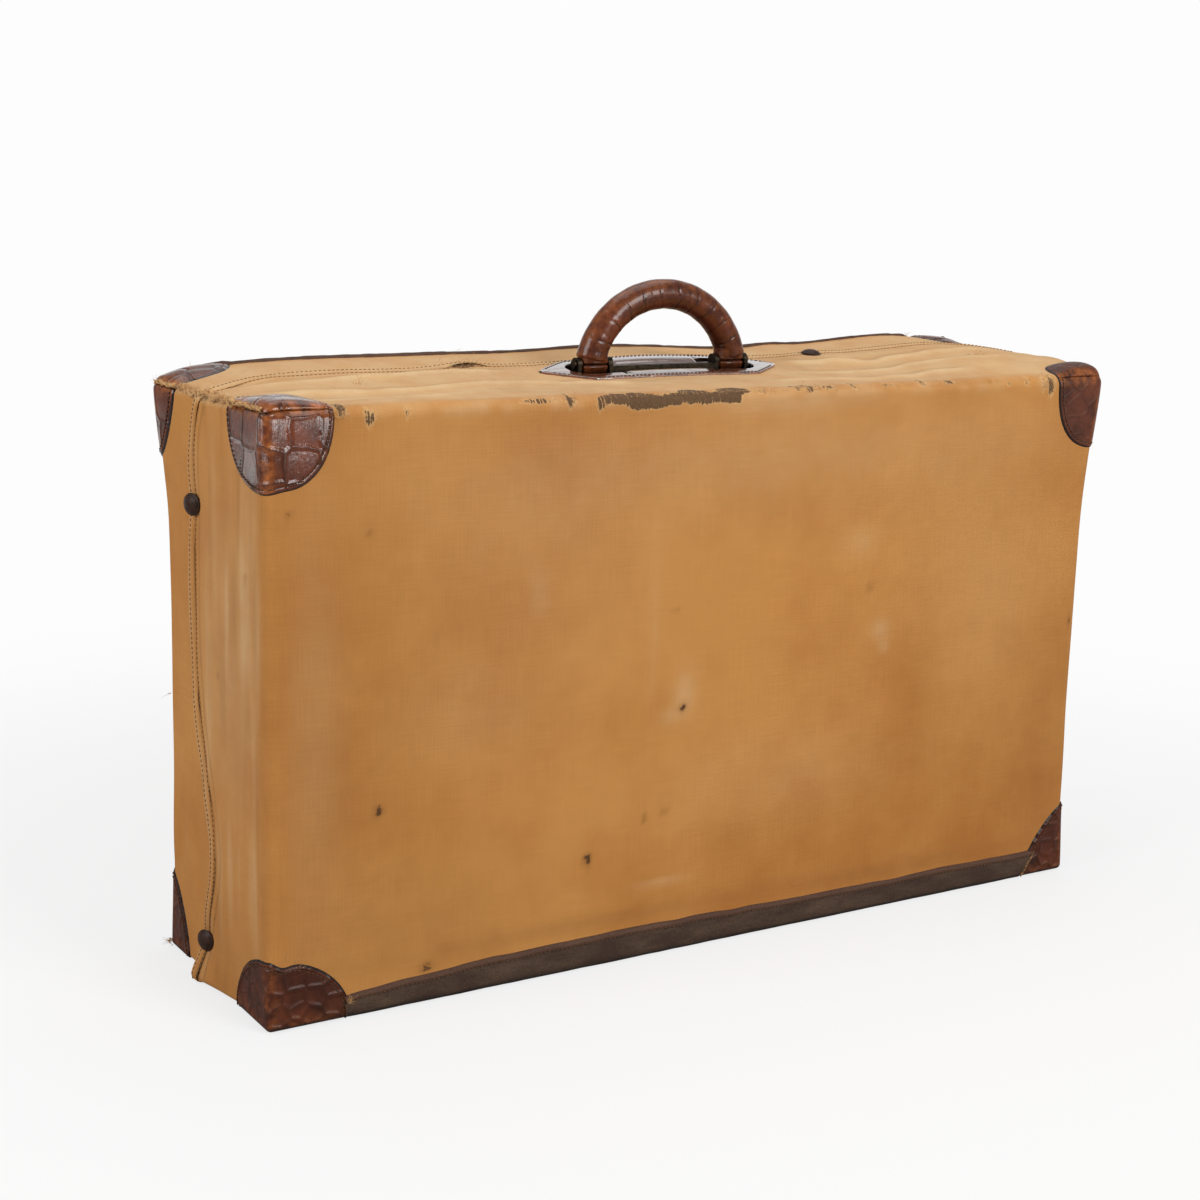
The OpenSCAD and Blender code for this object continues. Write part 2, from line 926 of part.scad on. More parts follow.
module handle_ear(x) {
    translate([x, -ear_r, top_z])
        cube([ear_t, 2 * ear_r, pin_rise]);
    translate([x, 0, handle_pin_z])
        rotate([0, 90, 0])
            cylinder(r = ear_r, h = ear_t);
}

// Bracket: a plate on the case top with two ears at each foot and a bar between them
module handle_plate() {
    plate_half = foot_x + ear_x0 + ear_t + 2;
    color(bronze_colour)
        difference() {
            union() {
                translate([-plate_half, -plate_w / 2, top_z])
                    cube([2 * plate_half, plate_w, plate_t]);
                for (side = [-1, 1], x = [-ear_x0 - ear_t, ear_x0])
                    handle_ear(side * foot_x + x);
                translate([0, 0, top_z])
                    linear_extrude(bar_top - top_z)
                        polygon([
                            for (i = [0 : bar_steps])
                                let (x = bar_half * (2 * i / bar_steps - 1)) [x, -bar_half_w(x)],
                            for (i = [0 : bar_steps])
                                let (x = bar_half * (1 - 2 * i / bar_steps)) [x, bar_half_w(x)]
                        ]);
            }
            at_feet()
                cylinder(r = handle_pin_r + running, h = 2 * foot_x, center = true);
        }
}

// Each pin is headed at its outer end only, and flush with the inner ear
module handle_pins() {
    half = ear_x0 + ear_t;
    color(bronze_colour)
        for (side = [-1, 1])
            at_feet([side]) {
                cylinder(r = handle_pin_r, h = 2 * half, center = true);
                translate([0, 0, side * (half + pin_head_h / 2)])
                    cylinder(r = pin_head_r, h = pin_head_h, center = true);
            }
}

module handle_washers() {
    color(bronze_colour)
        at_feet()
            for (side = [-1, 1])
                translate([0, 0, side * (ear_x0 - washer_t / 2)])
                    difference() {
                        cylinder(r = ear_r, h = washer_t, center = true);
                        cylinder(r = handle_pin_r + running, h = 2 * washer_t, center = true);
                    }
}

// Round bar bent along the grip's arc, from one angle to another
module grip_arc(r, a0, a1) {
    translate([0, 0, grip_zc])
        rotate([90, 0, 0])
            rotate([0, 0, a0])
                rotate_extrude(angle = a1 - a0, $fn = 96)
                    translate([grip_radius, 0])
                        circle(r);
}

neck_rise = 9.5;
crease_w = 1.2;
core_sink = 3;
grip_start = asin((handle_pin_z + neck_rise - grip_zc) / grip_radius);
crease_a = crease_w / grip_radius * 180 / PI;
core_start = grip_start - core_sink / grip_radius * 180 / PI;

// Leather grip in creased segments over its core
module handle_grip() {
    span = (180 - 2 * grip_start) / grip_segments;
    color(croc_colour)
        difference() {
            union() {
                grip_arc(grip_r - crease_d, grip_start, 180 - grip_start);
                for (i = [0 : grip_segments - 1])
                    grip_arc(
                        grip_r,
                        grip_start + i * span + (i == 0 ? 0 : crease_a / 2),
                        grip_start + (i + 1) * span - (i == grip_segments - 1 ? 0 : crease_a / 2)
                    );
            }
            grip_arc(core_r + running, grip_start - 1, 181 - grip_start);
            at_feet()
                cylinder(r = foot_r, h = foot_l, center = true);
        }
}

module handle_core() {
    color(steel_colour)
        grip_arc(core_r, core_start, 180 - core_start);
}

// Foot that turns on its pin, with a neck that meets the grip
module handle_foot(side) {
    neck_a0 = side > 0 ? grip_a0 - 4 : 180 - grip_start;
    neck_a1 = side > 0 ? grip_start : 184 - grip_a0;
    color(croc_colour)
        difference() {
            union() {
                at_feet([side])
                    cylinder(r = foot_r, h = foot_l, center = true);
                intersection() {
                    grip_arc(grip_r - crease_d, neck_a0, neck_a1);
                    translate([side * foot_x, 0, handle_pin_z + case_h / 2])
                        cube([foot_l, case_h, case_h], center = true);
                }
            }
            at_feet([side])
                cylinder(r = handle_pin_r + running, h = 2 * foot_l, center = true);
            grip_arc(core_r + running, core_start, 180 - core_start);
        }
}

module handle_foot_left() handle_foot(-1);
module handle_foot_right() handle_foot(1);

cover_front();
corner_front_top_left();
corner_front_top_right();
corner_front_bottom_left();
corner_front_bottom_right();
front_bottom_strip();
handle_patch();
stud_caps();
case_base();
base_lining();
frame_lip();
base_hinge_leaves();
hinge_pins();
base_hinge_rivets();
lock_plate_left();
lock_plate_right();
handle_plate();
handle_pins();
handle_washers();
cover_back();
corner_back_top_left();
corner_back_top_right();
corner_back_bottom_left();
corner_back_bottom_right();
back_top_strip();
back_bottom_strip();
stud_posts();
case_lid();
lid_lining();
lid_hinge_leaves();
lid_hinge_rivets();
lock_hasp_left();
lock_hasp_right();
lock_bolt_left();
lock_bolt_right();
handle_grip();
handle_core();
handle_foot_left();
handle_foot_right();
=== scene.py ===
# A vintage suitcase in its fitted canvas travel cover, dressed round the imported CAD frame.
import json
import math

import bmesh
import bpy
import numpy as np
from mathutils import Matrix, Vector

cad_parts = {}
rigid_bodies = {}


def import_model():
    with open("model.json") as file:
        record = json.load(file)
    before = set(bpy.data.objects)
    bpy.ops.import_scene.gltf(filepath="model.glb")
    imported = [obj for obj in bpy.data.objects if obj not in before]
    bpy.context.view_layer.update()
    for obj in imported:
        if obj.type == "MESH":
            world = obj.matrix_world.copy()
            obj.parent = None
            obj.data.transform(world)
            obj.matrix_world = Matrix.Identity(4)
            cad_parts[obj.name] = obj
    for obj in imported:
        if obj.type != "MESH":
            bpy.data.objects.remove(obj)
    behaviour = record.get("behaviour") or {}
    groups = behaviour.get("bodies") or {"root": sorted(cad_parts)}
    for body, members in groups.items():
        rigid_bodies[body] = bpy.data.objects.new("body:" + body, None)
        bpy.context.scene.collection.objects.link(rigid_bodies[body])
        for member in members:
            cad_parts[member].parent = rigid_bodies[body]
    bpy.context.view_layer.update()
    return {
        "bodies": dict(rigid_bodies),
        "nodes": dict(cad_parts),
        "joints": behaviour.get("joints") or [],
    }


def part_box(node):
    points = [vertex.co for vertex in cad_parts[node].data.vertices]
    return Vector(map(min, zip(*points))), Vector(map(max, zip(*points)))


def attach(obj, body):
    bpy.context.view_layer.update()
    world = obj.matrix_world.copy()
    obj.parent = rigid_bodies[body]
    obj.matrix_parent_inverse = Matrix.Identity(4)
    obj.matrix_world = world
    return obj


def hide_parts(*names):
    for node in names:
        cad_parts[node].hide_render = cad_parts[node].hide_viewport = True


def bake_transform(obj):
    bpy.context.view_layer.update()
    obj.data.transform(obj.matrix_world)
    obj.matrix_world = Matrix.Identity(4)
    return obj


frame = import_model()
MM = 0.001


# Studio
# A white floor under soft light, with the camera left of the case and a little above its top.
# The camera is rolled slightly, as the photographer held it.
FRAME_PX = 1200
FOCAL_PX = 2062.0
AZIMUTH, ELEVATION, ROLL = (math.radians(a) for a in (-31.89, 11.86, 1.45))
LOOK_AT = Vector((-0.0486, -0.0004, 0.2479))
DISTANCE = 1.5385

camera = bpy.data.objects.new("camera", bpy.data.cameras.new("camera"))
bpy.context.scene.collection.objects.link(camera)
bpy.context.scene.camera = camera
camera.data.sensor_width = 36.0
camera.data.lens = camera.data.sensor_width * FOCAL_PX / FRAME_PX
back = Vector((
    math.sin(AZIMUTH) * math.cos(ELEVATION),
    -math.cos(AZIMUTH) * math.cos(ELEVATION),
    math.sin(ELEVATION),
))
right = Vector((math.cos(AZIMUTH), math.sin(AZIMUTH), 0.0))
turn = Matrix.Rotation(ROLL, 3, back)
axes = [turn @ right, turn @ back.cross(right), back]
camera.matrix_world = Matrix.Translation(LOOK_AT + back * DISTANCE) @ Matrix(axes).transposed().to_4x4()
bpy.context.scene.view_settings.view_transform = "Standard"


def linear(colour):
    """An sRGB hex colour such as #BE8749 as the linear RGBA that Blender's sockets take."""
    s = np.array([int(colour[i:i + 2], 16) for i in (1, 3, 5)]) / 255.0
    rgb = np.where(s <= 0.04045, s / 12.92, ((s + 0.055) / 1.055) ** 2.4)
    return (*rgb.tolist(), 1.0)


def add(tree, kind, inputs=(), **settings):
    """Adds a shader node with its settings. Its inputs come by name, or as a list in the node's own order. Each is
    a plain value, a socket to link from, or a node, which is linked from the first of its outputs that is in use."""
    node = tree.nodes.new("ShaderNode" + kind)
    for key, value in settings.items():
        setattr(node, key, value)
    for key, value in inputs.items() if isinstance(inputs, dict) else enumerate(inputs):
        if isinstance(value, bpy.types.Node):
            value = next(socket for socket in value.outputs if socket.enabled)
        if isinstance(value, bpy.types.NodeSocket):
            tree.links.new(value, node.inputs[key])
        else:
            node.inputs[key].default_value = value
    return node


def empty_material(name):
    """A new material with its node tree, emptied."""
    made = bpy.data.materials.new(name)
    made.use_nodes = True
    made.node_tree.nodes.clear()
    return made, made.node_tree


def sees_backdrop(tree, way):
    """1 for rays from the camera, and for glossy and clear surfaces where way points to the white backdrop behind
    the case. Towards the camera the room is dim, so that dark leather stays dark."""
    path = add(tree, "LightPath")
    ahead = add(tree, "VectorMath", [way, tuple(right.cross(Vector((0, 0, -1))))], operation="DOT_PRODUCT")
    behind = add(tree, "MapRange", [ahead, 0.7, 0.95], interpolation_type="SMOOTHSTEP")
    mirrored = add(tree, "Math", [path.outputs["Is Glossy Ray"], path.outputs["Is Transmission Ray"]],
                   operation="MAXIMUM")
    mirrored = add(tree, "Math", [mirrored, behind], operation="MULTIPLY")
    return add(tree, "Math", [path.outputs["Is Camera Ray"], mirrored], operation="MAXIMUM")


AMBIENT = 0.34
world = bpy.data.worlds.new("studio")
bpy.context.scene.world = world
world.use_nodes = True
world.node_tree.nodes.clear()
sky = world.node_tree
seen = sees_backdrop(sky, add(sky, "TexCoord").outputs["Generated"])
level = add(sky, "MapRange", [seen, 0.0, 1.0, AMBIENT, 1.0])
sky_light = add(sky, "Background", {"Color": linear("#FDFDFD"), "Strength": level})
add(sky, "OutputWorld", {"Surface": sky_light})

FLOOR_SIZE = 14.0
floor_mesh = bpy.data.meshes.new("floor")
corner = FLOOR_SIZE / 2
floor_mesh.from_pydata([(-corner, -corner, 0), (corner, -corner, 0), (corner, corner, 0), (-corner, corner, 0)],
                       [], [(0, 1, 2, 3)])
floor = bpy.data.objects.new("floor", floor_mesh)
bpy.context.scene.collection.objects.link(floor)
paper, sweep = empty_material("white_paper_sweep")
on_floor = add(sweep, "TexCoord").outputs["Object"]
first_look = add(sweep, "LightPath").outputs["Is Camera Ray"]
matt_tone = add(sweep, "Mix", {"Factor": first_look, "A": linear("#A8A8A8"), "B": linear("#E4E4E4")},
                data_type="RGBA")
matt = add(sweep, "BsdfDiffuse", {"Color": matt_tone})
lit = add(sweep, "Emission", {"Color": linear("#FDFDFD"), "Strength": 1.0})
FLOOR_GLOW = 0.74
round_it = add(sweep, "VectorMath", [on_floor], operation="LENGTH")
share = add(sweep, "MapRange", [round_it, 0.4, 1.2, FLOOR_GLOW, 1.0], interpolation_type="SMOOTHSTEP")
glow = add(sweep, "Math", [sees_backdrop(sweep, on_floor), share], operation="MULTIPLY")
sheet_of_paper = add(sweep, "MixShader", [glow, matt, lit])
add(sweep, "OutputMaterial", {"Surface": sheet_of_paper})
floor_mesh.materials.append(paper)

# The lid swings down past the floor as it opens, so the floor is hung from the lid's lowest edge
lid_edge = bpy.data.objects.new("lid_edge", None)
bpy.context.scene.collection.objects.link(lid_edge)
lid_edge.location = (0.0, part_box("back_bottom_strip")[1].y, 0.0)
lid_edge.parent = frame["bodies"]["back_half"]
follow = floor.constraints.new("COPY_LOCATION")
follow.target = lid_edge
follow.use_x = follow.use_y = False

# name, place, size and power of each soft box; all of them face the middle of the case
SOFT_BOXES = [
    ("front_light", (0.9, -3.0, 1.9), 1.6, 84.0),
    ("left_light", (-3.0, -0.2, 1.5), 1.6, 52.0),
    ("low_light", (1.7, -2.7, 0.9), 0.9, 5.0),
    ("top_light", (0.3, 0.6, 2.8), 2.2, 24.0),
]
for name, place, size, power in SOFT_BOXES:
    lamp = bpy.data.lights.new(name, "AREA")
    lamp.shape, lamp.size, lamp.energy = "SQUARE", size, power
    box_light = bpy.data.objects.new(name, lamp)
    bpy.context.scene.collection.objects.link(box_light)
    box_light.location = place
    aim = LOOK_AT - Vector(place)
    box_light.rotation_euler = aim.to_track_quat("-Z", "Y").to_euler()


# Canvas cover, front half
# Heavy cotton twill, cut as a front panel with a top, two ends and a bottom, sewn into an open box
# that fits over the fibre case. Its back edge is a folded hem, stitched twice.
LEATHER = 1.8 * MM
CASE_TOP = 414 * MM
EDGE_R, CRISP_R = 8 * MM, 3 * MM
half_w = -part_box("corner_front_bottom_left")[0].x - LEATHER
front_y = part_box("corner_front_bottom_left")[0].y + LEATHER
hem_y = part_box("cover_front")[1].y
low_z = LEATHER
top_z = CASE_TOP - LEATHER
hinge = next(j for j in frame["joints"] if j["name"] == "lid_hinge")["pos_m"]
slot_half = 4.2 * MM


def eased(t):
    """Smooth step: 0 below 0, 1 above 1, with level ends."""
    t = np.clip(t, 0.0, 1.0)
    return t * t * (3.0 - 2.0 * t)


def bump(d, width):
    """Bell curve of a distance, 1 at its middle."""
    return np.exp(-(d / width) ** 2)


def lumps(a, b, cell, seed):
    """Smooth noise from -1 to 1: seeded heights on a lattice of that cell, eased between its points."""
    heights = np.random.default_rng(seed).uniform(-1, 1, (64, 64))
    i, j = np.floor(a / cell).astype(int), np.floor(b / cell).astype(int)
    s, t = eased(a / cell - i), eased(b / cell - j)
    near = heights[i % 64, j % 64] * (1 - s) + heights[(i + 1) % 64, j % 64] * s
    far = heights[i % 64, (j + 1) % 64] * (1 - s) + heights[(i + 1) % 64, (j + 1) % 64] * s
    return near * (1 - t) + far * t


def wander(a, cell, seed):
    """Smooth noise from -1 to 1 along a line."""
    return lumps(a, a * 0, cell, seed)


def joined(*parts):
    """Numbers of any shapes that go together, as the last axis of one array."""
    return np.stack(np.broadcast_arrays(*parts), -1)


def unit(v):
    """Vectors brought to length 1, and left at 0 where they have none."""
    return v / np.maximum(np.linalg.norm(v, axis=-1, keepdims=True), 1e-9)


def run_length(points):
    """Distance along a line of points from its first one."""
    return np.concatenate([[0], np.cumsum(np.linalg.norm(np.diff(points, axis=0), axis=-1))])


def graded(low, high, step, fine, edge):
    """Points from low to high: fine steps within edge of both ends, wider steps between."""
    ends = np.arange(0.0, edge, fine)
    middle = np.linspace(low + edge, high - edge, max(2, round((high - low - 2 * edge) / step)))
    return np.concatenate([low + ends, middle, high - ends[::-1]])


def plateau(x):
    """1 along the case, falling to 0 at both ends, as the slack canvas does over the top."""
    return np.clip(1.0 - np.abs(x / half_w) ** 10, 0.0, 1.0)


def crown(x, y):
    """Rise of the slack canvas over the flat top: it climbs behind the front edge, again to the back,
    stands up where the handle and the press stud hold it, and is puffed up towards the right end."""
    climb = eased((y + 55 * MM) / (85 * MM))
    ride_up = 8.0 * plateau(x) + 5.0 * bump(x, 80 * MM) + 2.5 * bump(x - 158 * MM, 26 * MM)
    at_right = 9.5 * eased((x - 140 * MM) / (170 * MM)) * eased((y + 95 * MM) / (60 * MM))
    at_back = (4.7 * plateau(x) + 2.5 * eased((-50 * MM - x) / (100 * MM))) * eased((y - 20 * MM) / (70 * MM))
    return MM * (climb * ride_up + at_back + at_right)


def crown_at(x, y, z, lowest=0.5):
    """The crown's rise at a height: none below that share of the case, and all of it near the top."""
    return np.where(z > lowest * top_z, crown(x, y), 0.0) * eased((z - 0.25 * top_z) / (0.6 * top_z))


def hem_end(z):
    """Where the hem lies on an end: drawn forward where the canvas hangs slack, at the top and at the hinge."""
    slack = 30 * MM * bump(z - 0.24 * CASE_TOP, 0.17 * CASE_TOP) + 9 * MM * bump(z - low_z, 22 * MM)
    return hem_y - slack - 18 * MM * bump(z - 1.02 * CASE_TOP, 0.07 * CASE_TOP)


def hem_top(x):
    """Where the hem lies on the top, meeting the ends' hem at both corners."""
    return hem_y - (hem_y - hem_end(np.float64(top_z))) * bump(half_w - np.abs(x), 38 * MM)


def out_of_square(p):
    """How far a place has sprung sideways since the case was made: its two far top corners flare out."""
    x, y, z = np.moveaxis(p, -1, 0)
    high = eased((z - 240 * MM) / (174 * MM)) ** 3
    to_right = 9.5 * MM * eased((x - 240 * MM) / (115 * MM))
    to_left = 8 * MM * eased((-x - 240 * MM) / (115 * MM)) * eased((y - 30 * MM) / (60 * MM))
    return high * (to_right - to_left)


def rounded(p, low, high, r):
    """A sharp box's surface point moved on to the box with its edges rounded to r, and its normal."""
    r = np.broadcast_to(np.asarray(r)[..., None], p.shape)
    inner = np.clip(p, low + r, high - r)
    out = p - inner
    normal = unit(out)
    shape = inner + r * normal
    shape[..., 0] += out_of_square(shape)
    return shape, normal


def soft_edge(z):
    """Edge radius: crisp at the bottom, softer where nothing stiffens the canvas, tight at the leather corners."""
    crisp = CRISP_R + (EDGE_R - CRISP_R) * eased(z / (60 * MM))
    return crisp + 4 * MM * eased(np.minimum(z, CASE_TOP - z) / (110 * MM) - 0.4)


def piece(name, grids, material, merge=1e-6, flip=(), layers=None):
    """One mesh object from grids of points and UVs: quads between neighbours, seams merged.
    flip names the grids whose rows run the other way round, so that all faces point outwards.
    layers holds numbers for each grid's points, by name, for the material to read."""
    points, uvs, faces, start = [], [], [], 0
    for k, (p, uv) in enumerate(grids):
        n, m = p.shape[:2]
        i = start + np.arange(n * m).reshape(n, m)
        quads = np.stack([i[:-1, :-1], i[1:, :-1], i[1:, 1:], i[:-1, 1:]], -1).reshape(-1, 4)
        faces.append(quads[:, ::-1] if k in flip else quads)
        points.append(p.reshape(-1, 3))
        uvs.append(uv.reshape(-1, 2))
        start += n * m
    faces, uvs = np.concatenate(faces), np.concatenate(uvs)
    mesh = bpy.data.meshes.new(name)
    mesh.from_pydata(np.concatenate(points).tolist(), [], faces.tolist())
    mesh.uv_layers.new(name="UVMap").data.foreach_set("uv", uvs[faces.ravel()].astype(np.float32).ravel())
    for layer, values in (layers or {}).items():
        values = np.concatenate([np.broadcast_to(v, g[0].shape[:2]).ravel() for v, g in zip(values, grids)])
        mesh.attributes.new(layer, "FLOAT", "POINT").data.foreach_set("value", values.astype(np.float32))
    shell = bmesh.new()
    shell.from_mesh(mesh)
    bmesh.ops.remove_doubles(shell, verts=shell.verts, dist=merge)
    shell.to_mesh(mesh)
    shell.free()
    mesh.polygons.foreach_set("use_smooth", np.ones(len(mesh.polygons), bool))
    mesh.materials.append(material)
    made = bpy.data.objects.new(name, mesh)
    bpy.context.scene.collection.objects.link(made)
    return made


def points_of(made):
    """A piece's vertices as an array of places."""
    co = np.zeros(len(made.data.vertices) * 3, np.float32)
    made.data.vertices.foreach_get("co", co)
    return co.reshape(-1, 3).astype(float)


def paint(made, layer, values):
    """Stores one number at each vertex, for the piece's material to read."""
    made.data.attributes.new(layer, "FLOAT", "POINT").data.foreach_set("value", values.astype(np.float32))


# The weave is drawn twice as coarse as the real cloth, because a 0.8 mm rib is finer than a pixel
TWILL_RIB = 1.7 * MM
CANVAS_TAN, CANVAS_DEEP, CANVAS_PALE = "#BE8547", "#A96D33", "#CFAE82"
STAIN_AND_SHADE_BROWN, BARE_BOARD = "#7E5227", "#3E2D20"
WAVE_PERIOD = math.pi / 10


def twill_canvas(name):
    """Cotton twill: matt and fuzzy, with diagonal ribs, uneven dye, paler places, stains and worn holes, with painted
    highlight on the ridges and painted shade in the creases of its hem and top.
    Roughness is that of dry cotton, and a little sheen stands for its nap."""
    made, tree = empty_material(name)
    place = add(tree, "TexCoord")
    uv, where = place.outputs["UV"], place.outputs["Object"]
    diagonal = add(tree, "Mapping", {"Vector": uv, "Rotation": (0, 0, math.radians(58))})
    rib = add(tree, "TexWave", {"Vector": diagonal, "Scale": WAVE_PERIOD / TWILL_RIB, "Distortion": 1.2,
                                "Detail": 2.0, "Detail Scale": 1.5})
    warp = add(tree, "Mapping", {"Vector": uv, "Scale": (900, 30, 1)})
    weft = add(tree, "Mapping", {"Vector": uv, "Scale": (30, 900, 1)})
    warp_threads = add(tree, "TexNoise", {"Vector": warp, "Scale": 1.0, "Detail": 2.0})
    weft_threads = add(tree, "TexNoise", {"Vector": weft, "Scale": 1.0, "Detail": 2.0})
    threads = add(tree, "Math", [warp_threads, weft_threads], operation="ADD")
    dye = add(tree, "TexNoise", {"Vector": where, "Scale": 5.0, "Detail": 5.0, "Roughness": 0.62})
    blotch = add(tree, "TexNoise", {"Vector": where, "Scale": 34.0, "Detail": 6.0, "Roughness": 0.65})
    speck = add(tree, "TexNoise", {"Vector": where, "Scale": 420.0, "Detail": 3.0, "Roughness": 0.7})
    deep = add(tree, "MapRange", [dye, 0.40, 0.68])
    base = add(tree, "Mix", {"Factor": deep, "A": linear(CANVAS_TAN), "B": linear(CANVAS_DEEP)}, data_type="RGBA")
    # The fade layer holds real fading and also painted highlight along the hem's raised edge and on the ridges of the
    # top's creases.
    fade = add(tree, "Attribute", attribute_name="fade").outputs["Fac"]
    uneven = add(tree, "MapRange", [blotch, 0.25, 0.75, 0.55, 1.25])
    pale_share = add(tree, "Math", [fade, uneven], operation="MULTIPLY", use_clamp=True)
    pale = add(tree, "Mix", {"Factor": pale_share, "A": base, "B": linear(CANVAS_PALE)}, data_type="RGBA")
    shade = add(tree, "MapRange", [rib.outputs["Fac"], 0.0, 1.0, 0.94, 1.03])
    slub = add(tree, "MapRange", [threads, 0.7, 1.3, 0.95, 1.05])
    woven = add(tree, "Math", [shade, slub], operation="MULTIPLY")
    cloth = add(tree, "Mix", {"Factor": 1.0, "A": pale, "B": woven}, data_type="RGBA", blend_type="MULTIPLY")
    # The stain layer holds real stains and also painted shade: in the hem's creases, in the troughs of the top's
    # creases and between the strands of frayed edges.
    stain = add(tree, "Attribute", attribute_name="stain").outputs["Fac"]
    ragged = add(tree, "Math", [stain, uneven], operation="MULTIPLY", use_clamp=True)
    stained_and_shaded = add(tree, "Mix", {"Factor": ragged, "A": cloth, "B": linear(STAIN_AND_SHADE_BROWN)}, data_type="RGBA")
    speckled = add(tree, "Math", [speck, 0.7, stain], operation="MULTIPLY_ADD")
    heart = add(tree, "MapRange", [speckled, 0.88, 1.02, 0.0, 0.8])
    marked = add(tree, "Mix", {"Factor": heart, "A": stained_and_shaded, "B": linear(BARE_BOARD)}, data_type="RGBA")
    wear = add(tree, "Attribute", attribute_name="wear").outputs["Fac"]
    tattered = add(tree, "Math", [blotch, speck], operation="ADD")
    tooth = add(tree, "MapRange", [warp_threads, 0.3, 0.7, 0.55, 1.45])
    toothed = add(tree, "Math", [tooth, wear], operation="MULTIPLY")
    frayed = add(tree, "Math", [tattered, 0.75, toothed], operation="MULTIPLY_ADD")
    hole = add(tree, "MapRange", [frayed, 1.22, 1.34])
    nap = add(tree, "MapRange", [frayed, 1.02, 1.26, 0.0, 0.5])
    fuzzy = add(tree, "Mix", {"Factor": nap, "A": marked, "B": linear("#D9B582")}, data_type="RGBA")
    bare = add(tree, "Mix", {"Factor": speck, "A": linear(BARE_BOARD), "B": linear("#7A5C40")}, data_type="RGBA")
    worn = add(tree, "Mix", {"Factor": hole, "A": fuzzy, "B": bare}, data_type="RGBA")
    weave = add(tree, "Bump", {"Height": woven, "Strength": 0.4, "Distance": 0.0006})
    sunk = add(tree, "Math", [hole, -1.0], operation="MULTIPLY")
    torn = add(tree, "Bump", {"Height": sunk, "Strength": 0.8, "Distance": 0.0012, "Normal": weave})
    shader = add(tree, "BsdfPrincipled", {"Base Color": worn, "Roughness": 0.92, "Specular IOR Level": 0.12,
                                          "Sheen Weight": 0.04, "Sheen Roughness": 0.6, "Normal": torn})
    add(tree, "OutputMaterial", {"Surface": shader})
    return made


def spots(places, a, b):
    """Sum of soft ovals: each place is its two middles, its two radii and its strength, in mm."""
    total = np.zeros_like(a)
    for a0, b0, ra, rb, strength in places:
        total += strength * np.exp(-(((a - a0 * MM) / (ra * MM)) ** 2 + ((b - b0 * MM) / (rb * MM)) ** 2))
    return total


canvas = twill_canvas("tan_cotton_twill")
xs = graded(-half_w, half_w, 3.8 * MM, 1.5 * MM, 18 * MM)
zs = graded(low_z, top_z, 4.0 * MM, 1.5 * MM, 18 * MM)
ts = graded(0.0, 1.0, 0.018, 0.006, 0.15)
FRONT_LOW = np.array([-half_w, front_y, low_z])
FRONT_HIGH = np.array([half_w, 1.0, top_z])


# Places that hold the canvas flat: the press studs, as distance from the middle or height, and the patch
STUD_HEIGHTS, STUD_INSET, STUD_TOP_X = (31 * MM, 336 * MM), 10.5 * MM, 158 * MM


def loose(x, y, z):
    """1 where the canvas is free to move, 0 where a leather corner, a stud or the handle's patch holds it."""
    to_corner = np.sqrt((half_w - np.abs(x)) ** 2 + (-front_y - np.abs(y)) ** 2
                        + np.minimum(z - low_z, top_z - z) ** 2)
    held = np.where((x < 0) & (y < 0) & (z > 0.5 * top_z), 62 * MM, 48 * MM)
    free = eased((to_corner - held) / (30 * MM))
    for height in STUD_HEIGHTS:
        middle = hem_end(np.float64(height)) - STUD_INSET
        free = free * (1 - bump(np.sqrt((half_w - np.abs(x)) ** 2 + (y - middle) ** 2 + (z - height) ** 2), 14 * MM))
    over = z > 0.9 * top_z
    free = free * (1 - over * bump(np.hypot(x - STUD_TOP_X, y - hem_y + STUD_INSET), 12 * MM))
    from_patch = np.maximum(np.abs(x) - 98 * MM, np.abs(y) - 24 * MM)
    return free * np.where(over, eased(from_patch / (14 * MM)), 1.0)


# Creases in the slack top: points along each, as distance from the middle and depth, then its height, all in mm
TOP_CREASES = [([(-330, -20), (-250, -32), (-160, -22), (-90, -34), (-40, -48)], 1.3),
               ([(-345, 8), (-270, 6), (-190, 16), (-120, 12)], 1.2), ([(-320, -48), (-230, -60), (-150, -52)], 1.0),
               ([(100, -20), (170, -34), (240, -26), (330, -36)], 1.1),
               ([(110, 8), (200, -4), (290, 4), (340, -6)], 1.2), ([(60, -50), (150, -62), (260, -56)], 0.9)]


def creases(x, y):
    """Height of the top's creases: a narrow ridge along each line, fading out at its ends."""
    total = np.zeros(np.broadcast(x, y).shape)
    for line, height in TOP_CREASES:
        cx, cy = np.array(line).T * MM
        fading = eased((x - cx[0]) / (30 * MM)) * eased((cx[-1] - x) / (30 * MM))
        path = np.interp(x, cx, cy) + 2.5 * MM * wander(x, 24 * MM, 9)
        total += 1.3 * height * fading * (bump(y - path, 4 * MM) - 0.6 * bump(y - path - 7 * MM, 4 * MM))
    return total


